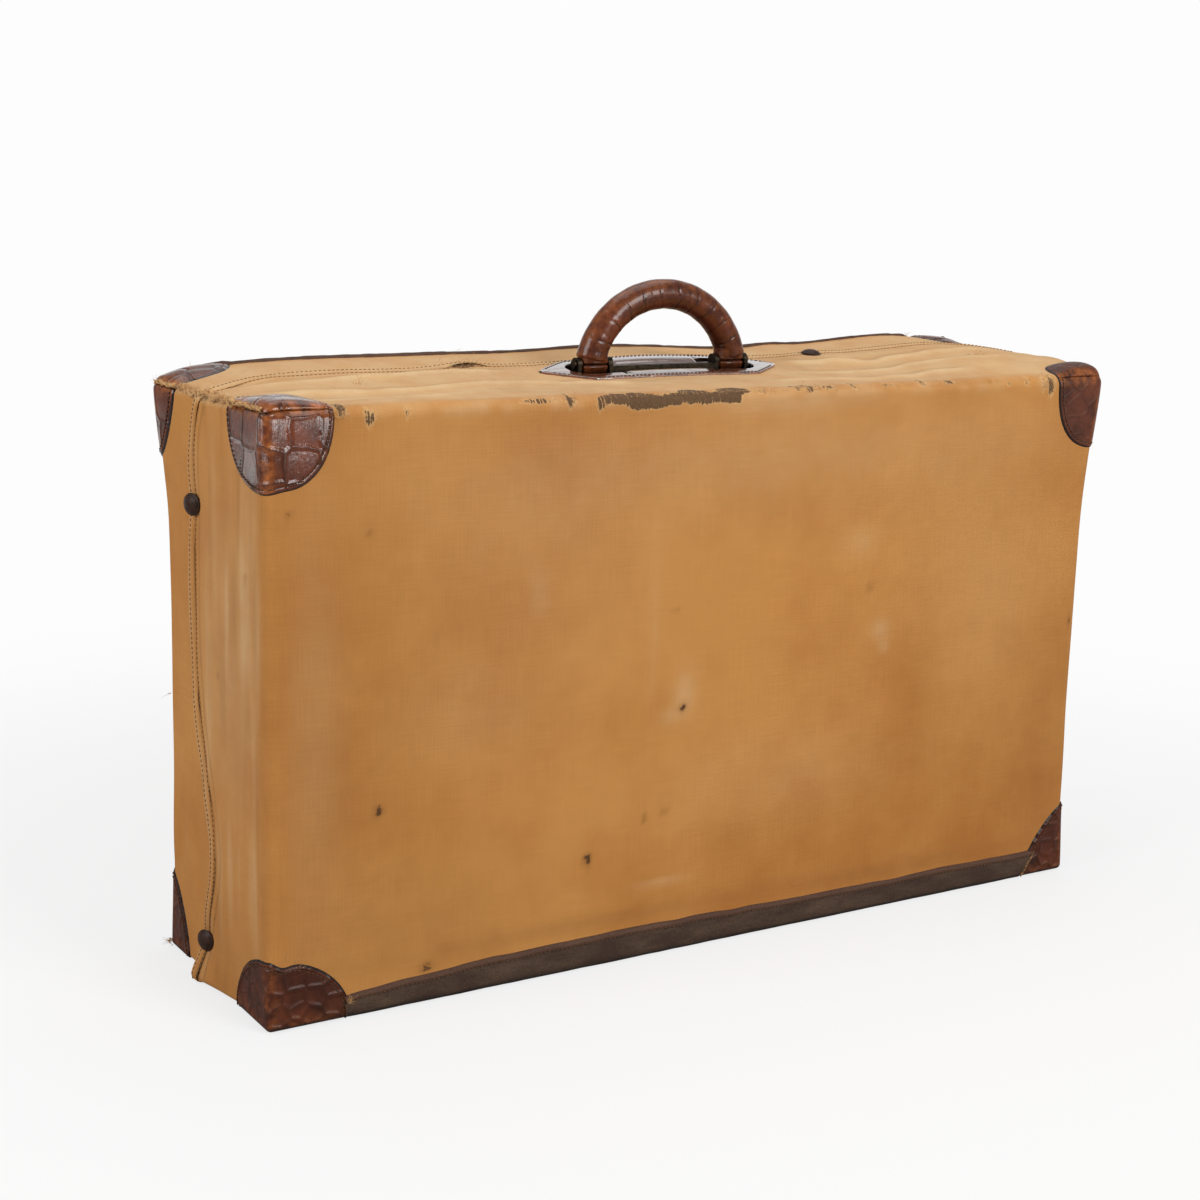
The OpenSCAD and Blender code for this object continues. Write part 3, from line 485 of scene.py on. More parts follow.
def front_surface(p):
    """The front cover at points of its sharp box: rounded, crowned, and then moved along its normal
    by slack, by folds at the ends and by the hem, which stands a little off the cloth under it.
    Below its last stud the left flap is free and splays out."""
    shape, normal = rounded(p, FRONT_LOW, FRONT_HIGH, soft_edge(p[..., 2]))
    x, y, z = np.moveaxis(shape, -1, 0)
    nx, ny, nz = np.moveaxis(normal, -1, 0)
    on_end, on_top, on_front = nx ** 2, np.clip(nz, 0, 1) ** 2, ny ** 2
    hem = np.where(on_end > 0.5, hem_end(z), hem_top(x)) - y
    near_hem = eased(1.0 - hem / (26 * MM))
    slack = on_front * (0.45 * lumps(x, z, 60 * MM, 3) + 0.35 + 0.2 * lumps(x, z, 22 * MM, 4))
    folds = on_end * (0.5 + 0.5 * lumps(z + 3 * y, 4 * y + 0.3 * z, 52 * MM, 5))
    slack += folds * (1.0 + 0.6 * near_hem)
    slack += on_top * (1.5 * lumps(0.45 * x + y, 3.2 * y - 0.2 * x, 85 * MM, 6) + 0.7 * lumps(x, 3 * y, 34 * MM, 7)
                      + creases(x, y))
    lift = near_hem * (0.4 + 0.4 * (1 + lumps(x + z, y * 0 + 1, 38 * MM, 8))) + 1.4 * eased(1.0 - hem / (9 * MM))
    lift += 0.9 * bump(hem - 6.8 * MM, 2.6 * MM)
    lift = lift * (1 - 0.55 * on_top) + 3.0 * on_top * bump(x + 150 * MM, 20 * MM) * bump(hem - 5 * MM, 7 * MM)
    moved = shape + normal * (MM * loose(x, y, z) * (slack + lift))[..., None]
    moved[..., 2] += crown_at(x, y, z)
    splay = eased(1 - z / (32 * MM)) * np.clip((y + 38 * MM) / (55 * MM), 0, 1) * bump(x + half_w, 14 * MM)
    moved[..., 0] -= 9 * MM * splay
    return moved


def panel(a, b, place):
    """A grid of a by b carried to the sharp box by place, with its flat coordinates as UVs."""
    a, b = np.meshgrid(a, b, indexing="ij")
    p, uv = place(a, b)
    return joined(*p), joined(*uv)


def reach(t, low, high):
    """The place at a share t of the way from low to high."""
    return low + t * (high - low)


def bottom_edge(x):
    """Back edge of the front cover's bottom panel, meeting the ends' hem."""
    end = hem_end(np.float64(low_z))
    straight = hinge[1] - slot_half
    return straight + (end - straight) * bump(half_w - np.abs(x), 10 * MM)


front_panels = [panel(xs, zs, lambda x, z: ((x, front_y, z), (x, z)))]
for side in (-1, 1):
    front_panels.append(panel(ts, zs, lambda t, z: (
        (side * half_w, reach(t, front_y, hem_end(z)), z), (side * (half_w + reach(t, 0, hem_end(z) - front_y)), z))))
front_panels.append(panel(xs, ts, lambda x, t: (
    (x, reach(t, front_y, hem_top(x)), top_z), (x, top_z + reach(t, 0, hem_top(x) - front_y)))))
front_panels.append(panel(xs, ts, lambda x, t: (
    (x, reach(t, front_y, bottom_edge(x)), low_z), (x, low_z - reach(t, 0, bottom_edge(x) - front_y)))))
front_grids = [(front_surface(p), uv) for p, uv in front_panels]


HEM_FOLD = 10 * MM
FOLD_R = 0.7 * MM


def folded_hem(edge, inner):
    """The turned edge of a cloth: half a turn of radius FOLD_R past the edge, then flat under it.
    edge is the cloth's last row of points and inner the row before it."""
    out = unit(edge - inner)
    up = unit(np.cross(np.gradient(edge, axis=0), out))
    a = np.linspace(0, math.pi, 7)
    past = np.concatenate([FOLD_R * np.sin(a), [-0.5 * HEM_FOLD, -HEM_FOLD]])
    under = np.concatenate([FOLD_R * (1 - np.cos(a)), [2 * FOLD_R, 2 * FOLD_R]])
    p = edge[:, None] + past[None, :, None] * out[:, None] - under[None, :, None] * up[:, None]
    return p, joined(run_length(edge)[:, None], past[None]), up


left, right_end, top = (front_grids[k][0] for k in (1, 2, 3))
hem_line = np.concatenate([left[-1], top[1:-1, -1], right_end[-1, ::-1]])
hem_inner = np.concatenate([left[-2], top[1:-1, -2], right_end[-2, ::-1]])
fold, fold_uv, hem_up = folded_hem(hem_line, hem_inner)
front_cover = piece("canvas_front", [*front_grids, (fold, fold_uv)], canvas, flip={1, 4})

# The handle's slot: an opening for each foot and a slit between them, as the part's source has it.
# The canvas is cut away a little wider, and the leather patch covers its raw edge.
SLOT_L, SLOT_W, OPENING_L, SLIT_W = (v * MM for v in (162, 30, 44, 13))


def in_slot(x, y, grow):
    """True inside the slot's outline, grown by that much on all sides."""
    ax, r = np.abs(x), SLOT_W / 2
    straight = (ax > SLOT_L / 2 - OPENING_L - grow) & (ax < SLOT_L / 2 - r) & (np.abs(y) < r + grow)
    slit = (ax < SLOT_L / 2 - r) & (np.abs(y) < SLIT_W / 2 + grow)
    return straight | slit | (np.hypot(ax - SLOT_L / 2 + r, y) < r + grow)


def cut_away(made, inside):
    """Deletes the faces whose middles lie inside."""
    shell = bmesh.new()
    shell.from_mesh(made.data)
    middles = np.array([f.calc_center_median() for f in shell.faces])
    drop = np.flatnonzero(inside(*middles.T))
    shell.faces.ensure_lookup_table()
    bmesh.ops.delete(shell, geom=[shell.faces[i] for i in drop], context="FACES")
    shell.to_mesh(made.data)
    shell.free()


cut_away(front_cover, lambda x, y, z: in_slot(x, y, 3 * MM) & (z > 0.5 * top_z))

# Where the cloth has paled, has stains, or has worn through to the dark board: two middles, two radii, strength.
# The broad faint ovals only make the front darker towards its two ends and along its foot, and lighter along its
# upper part.
FRONT_WORN = [(-108, 406, 4, 6, 0.7), (-131, 409, 4, 6, 0.7), (-157, 410, 18, 2.5, 0.6), (-300, 411, 5, 7, 0.7),
              (-281, 404, 4.5, 8, 0.75), (-254, 406, 2.5, 6, 0.55), (306, 405, 4.5, 10, 0.85),
              (297, 406, 2.5, 9, 0.5), (60, 411, 4, 4, 0.6), (71, 411, 5, 5, 0.6), (177, 411, 5, 4, 0.55),
              (112, 411, 5, 4, 0.55), (144, 411, 8, 2, 0.5), (90, 411, 12, 2, 0.5), (205, 411, 9, 2.5, 0.5),
              (262, 408, 4, 4, 0.5), (281, 409, 4, 6, 0.6), (32, 410, 10, 3, 0.5)]
FRONT_SPOTS = [(-33, 185, 3.2, 3.2, 1.0), (-111, 83, 3.5, 3.5, 1.0), (134, 259, 2.6, 2.6, 0.9),
               (-274, 142, 3.5, 3.5, 0.8), (-63, 106, 2.5, 3, 0.9), (-46, 109, 2.4, 3, 0.8),
               (-42, 257, 1.8, 1.8, 0.6), (-337, 345, 2.5, 2.5, 0.6), (-281, 331, 3, 2, 0.6), (-238, 25, 6, 4, 0.6),
               (-110, 78, 2, 6, 0.5), (343, 214, 2, 5, 0.6), (-90, 34, 160, 7, 0.32), (180, 30, 120, 8, 0.35),
               (-235, 60, 90, 40, 0.2), (330, 120, 40, 120, 0.22), (-300, 190, 80, 190, 0.22),
               (230, 330, 80, 60, 0.06), (260, 200, 120, 200, 0.1)]
FRONT_FADED = [(-32, 196, 9, 16, 0.4), (-44, 180, 9, 7, 0.25), (146, 225, 9, 8, 0.4), (150, 212, 5, 5, 0.3),
               (-154, 278, 7, 12, 0.22), (122, 295, 16, 12, 0.2), (51, 402, 70, 8, 0.3), (-46, 55, 22, 3, 0.3),
               (-200, 200, 60, 40, 0.12), (-60, 250, 4, 60, 0.12), (60, 120, 90, 30, 0.12), (250, 250, 60, 90, 0.12),
               (-320, 200, 18, 120, 0.2), (40, 365, 300, 40, 0.2), (-160, 300, 90, 70, 0.12)]
# On the end, END_FADED and the broadest END_SPOTS only make it lighter in its middle and darker low down.
END_FADED = [(-30, 240, 60, 110, 0.3), (-70, 330, 20, 60, 0.2)]
END_SPOTS = [(-20, 30, 120, 50, 0.22), (40, 120, 30, 80, 0.15), (-60, 300, 2.5, 2.5, 0.6), (-10, 225, 2, 3, 0.5)]
TOP_WORN = [(-152, 27, 14, 3.5, 0.75), (285, -15, 8, 4, 0.5), (-248, -4, 6, 4, 0.35), (-85, 26, 5, 2, 0.35)]


def worn_strip(x, z):
    """1 inside the long worn place under the front top edge, with a wandering outline, 0 outside it."""
    lower = (402.5 * MM) + 2 * MM * wander(x, 13 * MM, 15) + 1 * MM * wander(x, 5 * MM, 16)
    upper = (415.5 * MM) + 4 * MM * wander(x, 15 * MM, 17) - 3 * MM * bump(x + 15 * MM, 9 * MM)
    ragged = 6 * MM * lumps(z, x * 0.3, 4 * MM, 18)
    ends = eased((x + 108 * MM + ragged) / (14 * MM)) * eased((20 * MM + ragged - x) / (14 * MM))
    return ends * eased((z - lower) / (6 * MM) + 0.5) * eased((upper - z) / (6 * MM) + 0.5)


x, y, z = points_of(front_cover).T
on_front = eased((front_y + 16 * MM - y) / (14 * MM))
on_top = eased((z - (top_z - 8 * MM)) / (8 * MM)) * (1 - on_front)
end_seam = bump(half_w - np.abs(x), 7 * MM) * bump(z - top_z, 8 * MM) * (y < hem_y - 8 * MM)
edge_worn = worn_strip(x, z + 0.35 * (y - front_y)) + spots(FRONT_WORN, x, z)
near_edge = eased((front_y + 22 * MM - y) / (10 * MM))
paint(front_cover, "wear", edge_worn * near_edge + spots(TOP_WORN, x, y) * on_top + 0.5 * end_seam)
on_end = (1 - on_front) * eased((np.abs(x) - half_w + 8 * MM) / (6 * MM)) * eased((z - low_z) / (3 * MM))
to_hem = np.where(on_end > 0.5, hem_end(z), hem_top(x)) - y
off_front = np.maximum(on_end, on_top)
# Painted highlight along the hem's raised edge and painted shade in the creases beside it.
hem_ridge = bump(to_hem - 2.5 * MM, 2.2 * MM)
hem_crease = bump(to_hem - 9.5 * MM, 1.4 * MM) + 0.7 * bump(to_hem - 16 * MM, 1.3 * MM)
# Painted shade in the troughs of the top's creases and painted highlight on their ridges.
ridges = creases(x, y) * on_top
streaks = [np.clip(lumps(y, 0.1 * z, cell * MM, seed), 0, 1) * on_end for cell, seed in ((7, 23), (9, 24))]
stain = (spots(FRONT_SPOTS, x, z) * on_front + spots(END_SPOTS, y, z) * on_end + 0.3 * streaks[0]
         + (0.5 - 0.25 * on_top) * hem_crease * off_front + 0.35 * np.clip(-ridges, 0, 1))
edge_fade = 0.4 * bump(z - top_z + 3 * MM, 6 * MM) * on_front * (0.5 + 0.5 * lumps(x, z, 9 * MM, 19))
# The whole top is also made paler.
fade = (spots(FRONT_FADED, x, z) * on_front + spots(END_FADED, y, z) * on_end + 0.35 * streaks[1]
        + 0.35 * hem_ridge * off_front + 0.7 * on_top + 0.3 * np.clip(ridges, 0, 1) + edge_fade)
paint(front_cover, "stain", np.clip(stain, 0, 1))
paint(front_cover, "fade", np.clip(fade, 0, 1))
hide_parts("cover_front")
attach(front_cover, "front_half")


# Canvas cover, back half
# The same twill as a shallower box over the lid. Its raw edges tuck in under the front half's hem,
# so the two halves come apart when the lid opens.
TUCK = 2.0 * MM
BACK_LOW = np.array([-half_w + TUCK, -1.0, low_z])
BACK_HIGH = np.array([half_w - TUCK, -front_y, top_z - TUCK])
back_half_w, back_top, back_y = half_w - TUCK, top_z - TUCK, -front_y
TUCK_TOP, TUCK_END = 20 * MM, 50 * MM
FLAP_LOW, FLAP_SLOPE, FLAP_HIGH = 13 * MM, 0.72 * CASE_TOP, 0.95 * CASE_TOP


def flap_end(z):
    """Front edge of the back cover on an end: deep under the hem, sloping back near the top."""
    deep, shallow, none = hem_y - TUCK_END, hem_y - TUCK_TOP, hinge[1] + slot_half
    slope = np.clip((z - FLAP_SLOPE) / (FLAP_HIGH - FLAP_SLOPE), 0, 1)
    return np.where(z < FLAP_LOW, none, deep + slope * (shallow - deep))


def back_surface(p):
    """The back cover at points of its sharp box: rounded, crowned and a little slack."""
    shape, normal = rounded(p, BACK_LOW, BACK_HIGH, soft_edge(p[..., 2]) - TUCK)
    x, y, z = np.moveaxis(shape, -1, 0)
    nx, ny, nz = np.moveaxis(normal, -1, 0)
    clear = eased((y - hem_y + 4 * MM) / (14 * MM))
    slack = (ny ** 2 * (0.5 * lumps(x, z, 64 * MM, 11) + 0.4)
             + nx ** 2 * clear * (0.4 + 0.9 * lumps(4 * y, z, 46 * MM, 12))
             + np.clip(nz, 0, 1) ** 2 * clear * 0.5 * lumps(x, 3 * y, 60 * MM, 13))
    moved = shape + normal * (MM * loose(x, y, z) * slack)[..., None]
    moved[..., 2] += crown_at(x, y, z, 0.3)
    return moved


bxs, bzs = xs * back_half_w / half_w, low_z + (zs - low_z) * (back_top - low_z) / (top_z - low_z)
back_panels = [panel(bxs, bzs, lambda x, z: ((x, back_y, z), (-x, z)))]
for side in (-1, 1):
    back_panels.append(panel(ts, bzs, lambda t, z: (
        (side * back_half_w, reach(t, flap_end(z), back_y), z), (reach(t, flap_end(z), back_y), z))))
flap_top = hem_y - TUCK_TOP
back_panels.append(panel(bxs, ts, lambda x, t: (
    (x, reach(t, flap_top, back_y), back_top), (x, reach(t, flap_top, back_y)))))
flap_bottom = hinge[1] + slot_half
back_panels.append(panel(bxs, ts, lambda x, t: (
    (x, reach(t, flap_bottom, back_y), low_z), (x, reach(t, flap_bottom, back_y)))))
back_cover = piece("canvas_back", [(back_surface(p), uv) for p, uv in back_panels], canvas, flip={0, 1, 4})
x, y, z = points_of(back_cover).T
BACK_SPOTS = [(120, 250, 60, 80, 0.2), (-180, 120, 90, 50, 0.2), (-60, 320, 4, 4, 0.8), (210, 90, 3, 3, 0.8),
              (-250, 300, 40, 60, 0.18), (40, 60, 160, 18, 0.25), (300, 200, 5, 3, 0.6)]
BACK_FADED = [(-80, 210, 30, 18, 0.4), (180, 300, 22, 30, 0.35), (-270, 160, 14, 40, 0.4), (60, 150, 90, 40, 0.15)]
on_back = eased((y - back_y + 16 * MM) / (14 * MM))
top_side = eased((z - (top_z - 8 * MM)) / (8 * MM)) * (1 - on_back)
paint(back_cover, "wear", 0.45 * bump(back_half_w - np.abs(x), 5 * MM) * bump(z - back_top, 6 * MM) * (y > hem_y))
paint(back_cover, "stain", np.clip(spots(BACK_SPOTS, x, z) * on_back, 0, 1))
# The back's top is also made paler.
paint(back_cover, "fade", np.clip(spots(BACK_FADED, x, z) * on_back + 0.7 * top_side, 0, 1))
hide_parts("cover_back")
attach(back_cover, "back_half")


# Leather corners
# Crocodile-embossed calf, cut in one piece for each corner, wetted and drawn over it, with its one seam
# on the edge between top and end, and stitched through the canvas near its turned edge.
CROC_DARK, CROC_RUBBED = "#2A130A", "#A45C28"


def croc_leather(name, brown, scale, stretch, jitter, depth, gloss, rubbed, glaze=0.25, shine=0.25, pillow=0.14,
                 coat_ior=1.5, lean=0.0):
    """Embossed glazed leather: raised scales of that size in metres with creases between them that come and
    go, each scale its own brown and a little darker at its edge, rubbed orange where it stands proud.
    pillow is the share of a scale over which it rises from its edge, and lean how far the hide lies back at the top,
    where each scale also slopes a little its own way."""
    made, tree = empty_material(name)
    place = add(tree, "TexCoord")
    uv, where = place.outputs["UV"], place.outputs["Object"]
    bent = add(tree, "TexNoise", {"Vector": uv, "Scale": 60.0, "Detail": 2.0})
    shift = add(tree, "VectorMath", [bent.outputs["Color"], (0.5, 0.5, 0.5)], operation="SUBTRACT")
    swayed = add(tree, "VectorMath", [shift, (0.22 * scale,) * 3, uv], operation="MULTIPLY_ADD")
    lie = {"Scale": (1 / stretch, 1, 1), "Location": (0, -0.47 * scale, 0)}
    laid = add(tree, "Mapping", {"Vector": swayed, **lie})
    cells = {"Vector": laid, "Scale": 1 / scale, "Randomness": jitter}
    groove = add(tree, "TexVoronoi", cells, voronoi_dimensions="2D", feature="DISTANCE_TO_EDGE")
    plate = add(tree, "TexVoronoi", cells, voronoi_dimensions="2D", feature="F1")
    drawn = add(tree, "Mapping", {"Vector": uv, "Scale": (1, 0.16, 1)})
    grain = add(tree, "TexNoise", {"Vector": drawn, "Scale": 700.0, "Detail": 4.0, "Roughness": 0.7})
    wrinkle = add(tree, "TexNoise", {"Vector": where, "Scale": 130.0, "Detail": 5.0, "Roughness": 0.65})
    patches = add(tree, "TexNoise", {"Vector": where, "Scale": 45.0, "Detail": 4.0, "Roughness": 0.6})
    domed = add(tree, "MapRange", [groove, 0.0, pillow], interpolation_type="SMOOTHSTEP")
    own = add(tree, "SeparateColor", {"Color": plate.outputs["Color"]})
    tone = add(tree, "MapRange", [own, 0.0, 1.0, 0.72, 1.12])
    age = add(tree, "MapRange", [patches, 0.35, 0.68, 0.0, 0.75])
    aged = add(tree, "Mix", {"Factor": age, "A": linear(brown), "B": linear(CROC_DARK)}, data_type="RGBA")
    toned = add(tree, "Mix", {"Factor": 1.0, "A": aged, "B": tone}, data_type="RGBA", blend_type="MULTIPLY")
    rub = add(tree, "Attribute", attribute_name="rub").outputs["Fac"]
    patchy = add(tree, "MapRange", [wrinkle, 0.40, 0.66, 0.0, 1.3])
    rubbing = add(tree, "Math", [rub, patchy], operation="MULTIPLY", use_clamp=True)
    proud = add(tree, "Math", [rubbing, rubbed], operation="MULTIPLY", use_clamp=True)
    orange = add(tree, "Mix", {"Factor": proud, "A": toned, "B": linear(CROC_RUBBED)}, data_type="RGBA")
    comes_and_goes = add(tree, "MapRange", [patches.outputs["Color"], 0.35, 0.6, 0.25, 1.0])
    crease = add(tree, "MapRange", [groove, 0.0, 0.05, depth, 0.0])
    sunk = add(tree, "Math", [crease, comes_and_goes], operation="MULTIPLY")
    grooved = add(tree, "Mix", {"Factor": sunk, "A": orange, "B": linear("#1E100A")}, data_type="RGBA")
    # This layer darkens the leather's raw edges, and also carries painted shade along the floor and in the handle's
    # creases.
    raw = add(tree, "Attribute", attribute_name="raw_edge").outputs["Fac"]
    edged = add(tree, "Mix", {"Factor": raw, "A": grooved, "B": linear("#1E120D")}, data_type="RGBA")
    rough = add(tree, "MapRange", [wrinkle, 0.3, 0.7, gloss, gloss + 0.22])
    emboss = add(tree, "Bump", {"Height": domed, "Strength": depth, "Distance": 0.006 * pillow})
    creased = add(tree, "Bump", {"Height": wrinkle, "Strength": 0.6 * depth, "Distance": 0.0007, "Normal": emboss})
    flat = add(tree, "Mapping", {"Vector": uv, **lie})
    from_middle = add(tree, "VectorMath", [flat, plate.outputs["Position"]], operation="SUBTRACT")
    own_way = add(tree, "VectorMath", [plate.outputs["Color"], (lean, 0.5 * lean, 0), (-0.5 * lean, -0.25 * lean, 0)],
                  operation="MULTIPLY_ADD")
    sloped = add(tree, "VectorMath", [from_middle, own_way], operation="DOT_PRODUCT")
    row = add(tree, "SeparateXYZ", [uv])
    below = add(tree, "Math", [row.outputs[1], 0.0], operation="MAXIMUM")
    laid_back = add(tree, "Math", [below, 0.25 * lean / scale, -lean], operation="MULTIPLY_ADD")
    tipped = add(tree, "Math", [laid_back, below, sloped], operation="MULTIPLY_ADD")
    leaning = add(tree, "Bump", {"Height": tipped, "Strength": 1.0 if lean else 0.0, "Distance": 1.0,
                                 "Normal": creased})
    pored = add(tree, "Bump", {"Height": grain, "Strength": 0.35 * depth, "Distance": 0.0006, "Normal": leaning})
    shader = add(tree, "BsdfPrincipled", {
        "Base Color": edged, "Roughness": rough, "Specular IOR Level": shine,
        "Coat Weight": glaze, "Coat Roughness": 0.11, "Coat IOR": coat_ior, "Normal": pored, "Coat Normal": pored})
    add(tree, "OutputMaterial", {"Surface": shader})
    return made


glazed_croc = croc_leather("glazed_croc_calf", "#6C3013", scale=24 * MM, stretch=1.0, jitter=0.3, depth=0.85,
                           gloss=0.2, rubbed=1.0, glaze=0.75, shine=0.1, pillow=0.12, lean=0.3)
dull_croc = croc_leather("dulled_croc_calf", "#582814", scale=13 * MM, stretch=1.1, jitter=0.65, depth=0.7, gloss=0.4,
                         rubbed=0.7, glaze=0.1, shine=0.2, pillow=0.25)
scuffed_croc = croc_leather("scuffed_croc_calf", "#603220", scale=15 * MM, stretch=1.2, jitter=0.9, depth=0.35,
                            gloss=0.42, rubbed=0.8, glaze=0.15, shine=0.2)
STITCH_LINE, CORNER_T = 2.0 * MM, 1.4 * MM
# Each corner as it was cut: its reach along the case, through it and up it in mm, how square, how pinched
CORNER_CUTS = {
    "front_top_left": ((48, 60, 54), 2.5, 0.05), "front_top_right": ((45, 32, 58), 2.4, 0.0),
    "front_bottom_left": ((59, 55, 47), 2.0, 0.17), "front_bottom_right": ((46, 54, 57), 1.38, 0.0),
    "back_top_left": ((50, 32, 54), 1.5, 0.0), "back_top_right": ((46, 28, 54), 1.5, 0.0),
    "back_bottom_left": ((54, 34, 58), 1.45, 0.0), "back_bottom_right": ((54, 52, 50), 2.2, 0.1)}
# How far the top lobe of two of them stands up in mm, and how much squarer it is cut than the rest
TOP_LOBES = {"front_top_left": (4.5, 4), "front_top_right": (5, 0.9)}
# How each corner's edge is finished, from the stitched top to the canvas: share of the reach, share of the thickness
RIM = [(0.996, 0.85), (1.002, 0.55), (1.004, 0.2), (1.002, -0.4)]


def corner_outline(angle, a, b, power, pinch):
    """Reach of a leather corner in a direction on one face: a superellipse, pinched beside the upright edge."""
    c, s = np.maximum(np.cos(angle), 0), np.sin(angle)
    drawn_in = 1 - pinch * np.sin(2 * angle) * bump(angle - 1.38, 0.16)
    return ((c / a) ** power + (s / b) ** power) ** (-1 / power) * drawn_in


def rounded_on(p, low, high, r):
    """As rounded, then lifted by the slack canvas's crown where the point is on the upper half."""
    shape, normal = rounded(p, low, high, r)
    shape[..., 2] += crown_at(*np.moveaxis(shape, -1, 0))
    return shape, normal


def case_box(inset):
    """Lowest and highest corner of the covered case, drawn in by inset at its ends and top."""
    return np.array([-half_w + inset, front_y, low_z]), np.array([half_w - inset, -front_y, top_z - inset])


def corner_grids(signs, cut, inset, dome, squarer):
    """The three faces of a leather corner as polar grids about the case's vertex, bent over its edges.
    Each grid comes with UVs unrolled from the big face, its distance from the edges, and the line of its stitches."""
    reaches, power, pinch = cut
    low, high = case_box(inset)
    vertex = np.where(np.array(signs) < 0, low, high)
    inward = -np.array(signs, float)
    share = np.concatenate([np.linspace(0, 0.90, 26), np.linspace(0.915, 0.985, 8), [r[0] for r in RIM]])
    height = np.concatenate([np.ones(len(share) - len(RIM)), [r[1] for r in RIM]])
    angle = np.linspace(0, math.pi / 2, 37)
    grids, from_edge, stitches = [], [], []
    # first axis, second axis and the unrolled direction of each face: big face, end, top or bottom
    for a, b, unroll in ((0, 2, (1, 1)), (1, 2, (-1, 1)), (0, 1, (1, -1))):
        square = power + (squarer if b == 1 and signs[2] > 0 else 0.0)
        outline = corner_outline(angle, reaches[a] * MM, reaches[b] * MM, square, pinch if (a, b) == (0, 2) else 0.0)
        out, line = outline[:, None] * share[None], outline - STITCH_LINE
        along, across = out * np.cos(angle)[:, None], out * np.sin(angle)[:, None]
        groove = 1 - 0.2 * bump(out - line[:, None], 0.9 * MM) * (share[None] < 0.99)
        grow = (height[None] * groove * CORNER_T)[..., None]
        p = np.zeros((*out.shape, 3)) + vertex
        p[..., a] += inward[a] * along
        p[..., b] += inward[b] * across
        r = soft_edge(p[..., 2]) - inset
        shape, _ = rounded_on(p - inward * grow, low - grow, high + grow, r + grow[..., 0])
        if b == 1 and signs[2] > 0:
            swell = dome * MM * 4 * np.clip(share * (1 - share), 0, 1)[None]
            shape[..., 2] += swell * np.sin(2 * angle)[:, None] ** 0.5
        grids.append((shape, joined(unroll[0] * along, unroll[1] * across)))
        from_edge.append(np.minimum(along, across))
        sewn = np.zeros((len(angle), 3)) + vertex
        sewn[:, a] += inward[a] * line * np.cos(angle)
        sewn[:, b] += inward[b] * line * np.sin(angle)
        r = soft_edge(sewn[:, 2]) - inset
        stitches.append(rounded_on(sewn - inward * CORNER_T, low - CORNER_T, high + CORNER_T, r + CORNER_T))
    return grids, from_edge, np.arange(len(share)) > len(share) - len(RIM), stitches


def floor_shade(z):
    """Painted shade along the floor: 1 at the floor, where the leather turns under away from the light, 0 a few
    millimetres above it.
    """
    return eased((4.5 * MM - z) / (3 * MM))


seams = []
for place, cut in CORNER_CUTS.items():
    half, level, end = place.split("_")
    signs = [1 if word in ("back", "top", "right") else -1 for word in (end, half, level)]
    grids, from_edge, raw, sewn = corner_grids(signs, cut, 0.0 if half == "front" else TUCK,
                                               *TOP_LOBES.get(place, (4, 0.9)))
    hide = scuffed_croc if place == "front_top_right" else glazed_croc if level == "top" else dull_croc
    # Each corner's dark rim, widened by painted shade along the floor.
    made = piece(f"leather_corner_{place}", grids, hide, merge=2e-5, flip={1} if np.prod(signs) < 0 else {0, 2},
                 layers={"rub": [(0.45 if level == "bottom" else 0.9) * bump(d, 8 * MM) for d in from_edge],
                         "raw_edge": [np.maximum(raw[None], floor_shade(p[..., 2])) for p, _ in grids]})
    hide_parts(f"corner_{place}")
    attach(made, f"{half}_half")
    seams.append((f"{half}_half", sewn))


# Leather strips
# Plain cowhide strips, once polished and now dull and dusty, folded round the bottom edges between the
# corners and over the back top edge, and stitched along their turned edges.
STRIP_BROWN, STRIP_DUST, STRIP_RED = "#3C281C", "#5E4836", "#54311C"
STRIP_GAP = 54.5 * MM
STRIP_UNDER = 24 * MM
# The front strip meets the right corner on a slant: its distance from the case's end at the top and at the floor
SLANT_TOP, SLANT_FOOT = 32 * MM, 46 * MM
# Height of the front strip's upper edge along the case, as it was cut by hand: distance from the middle, height
STRIP_CUT = np.array([(-300, 16), (-285, 18), (-244, 20.5), (-182, 23), (-100, 24), (-12, 23.5), (79, 22.5),
                      (178, 22), (262, 22.5), (300, 22)]) * MM


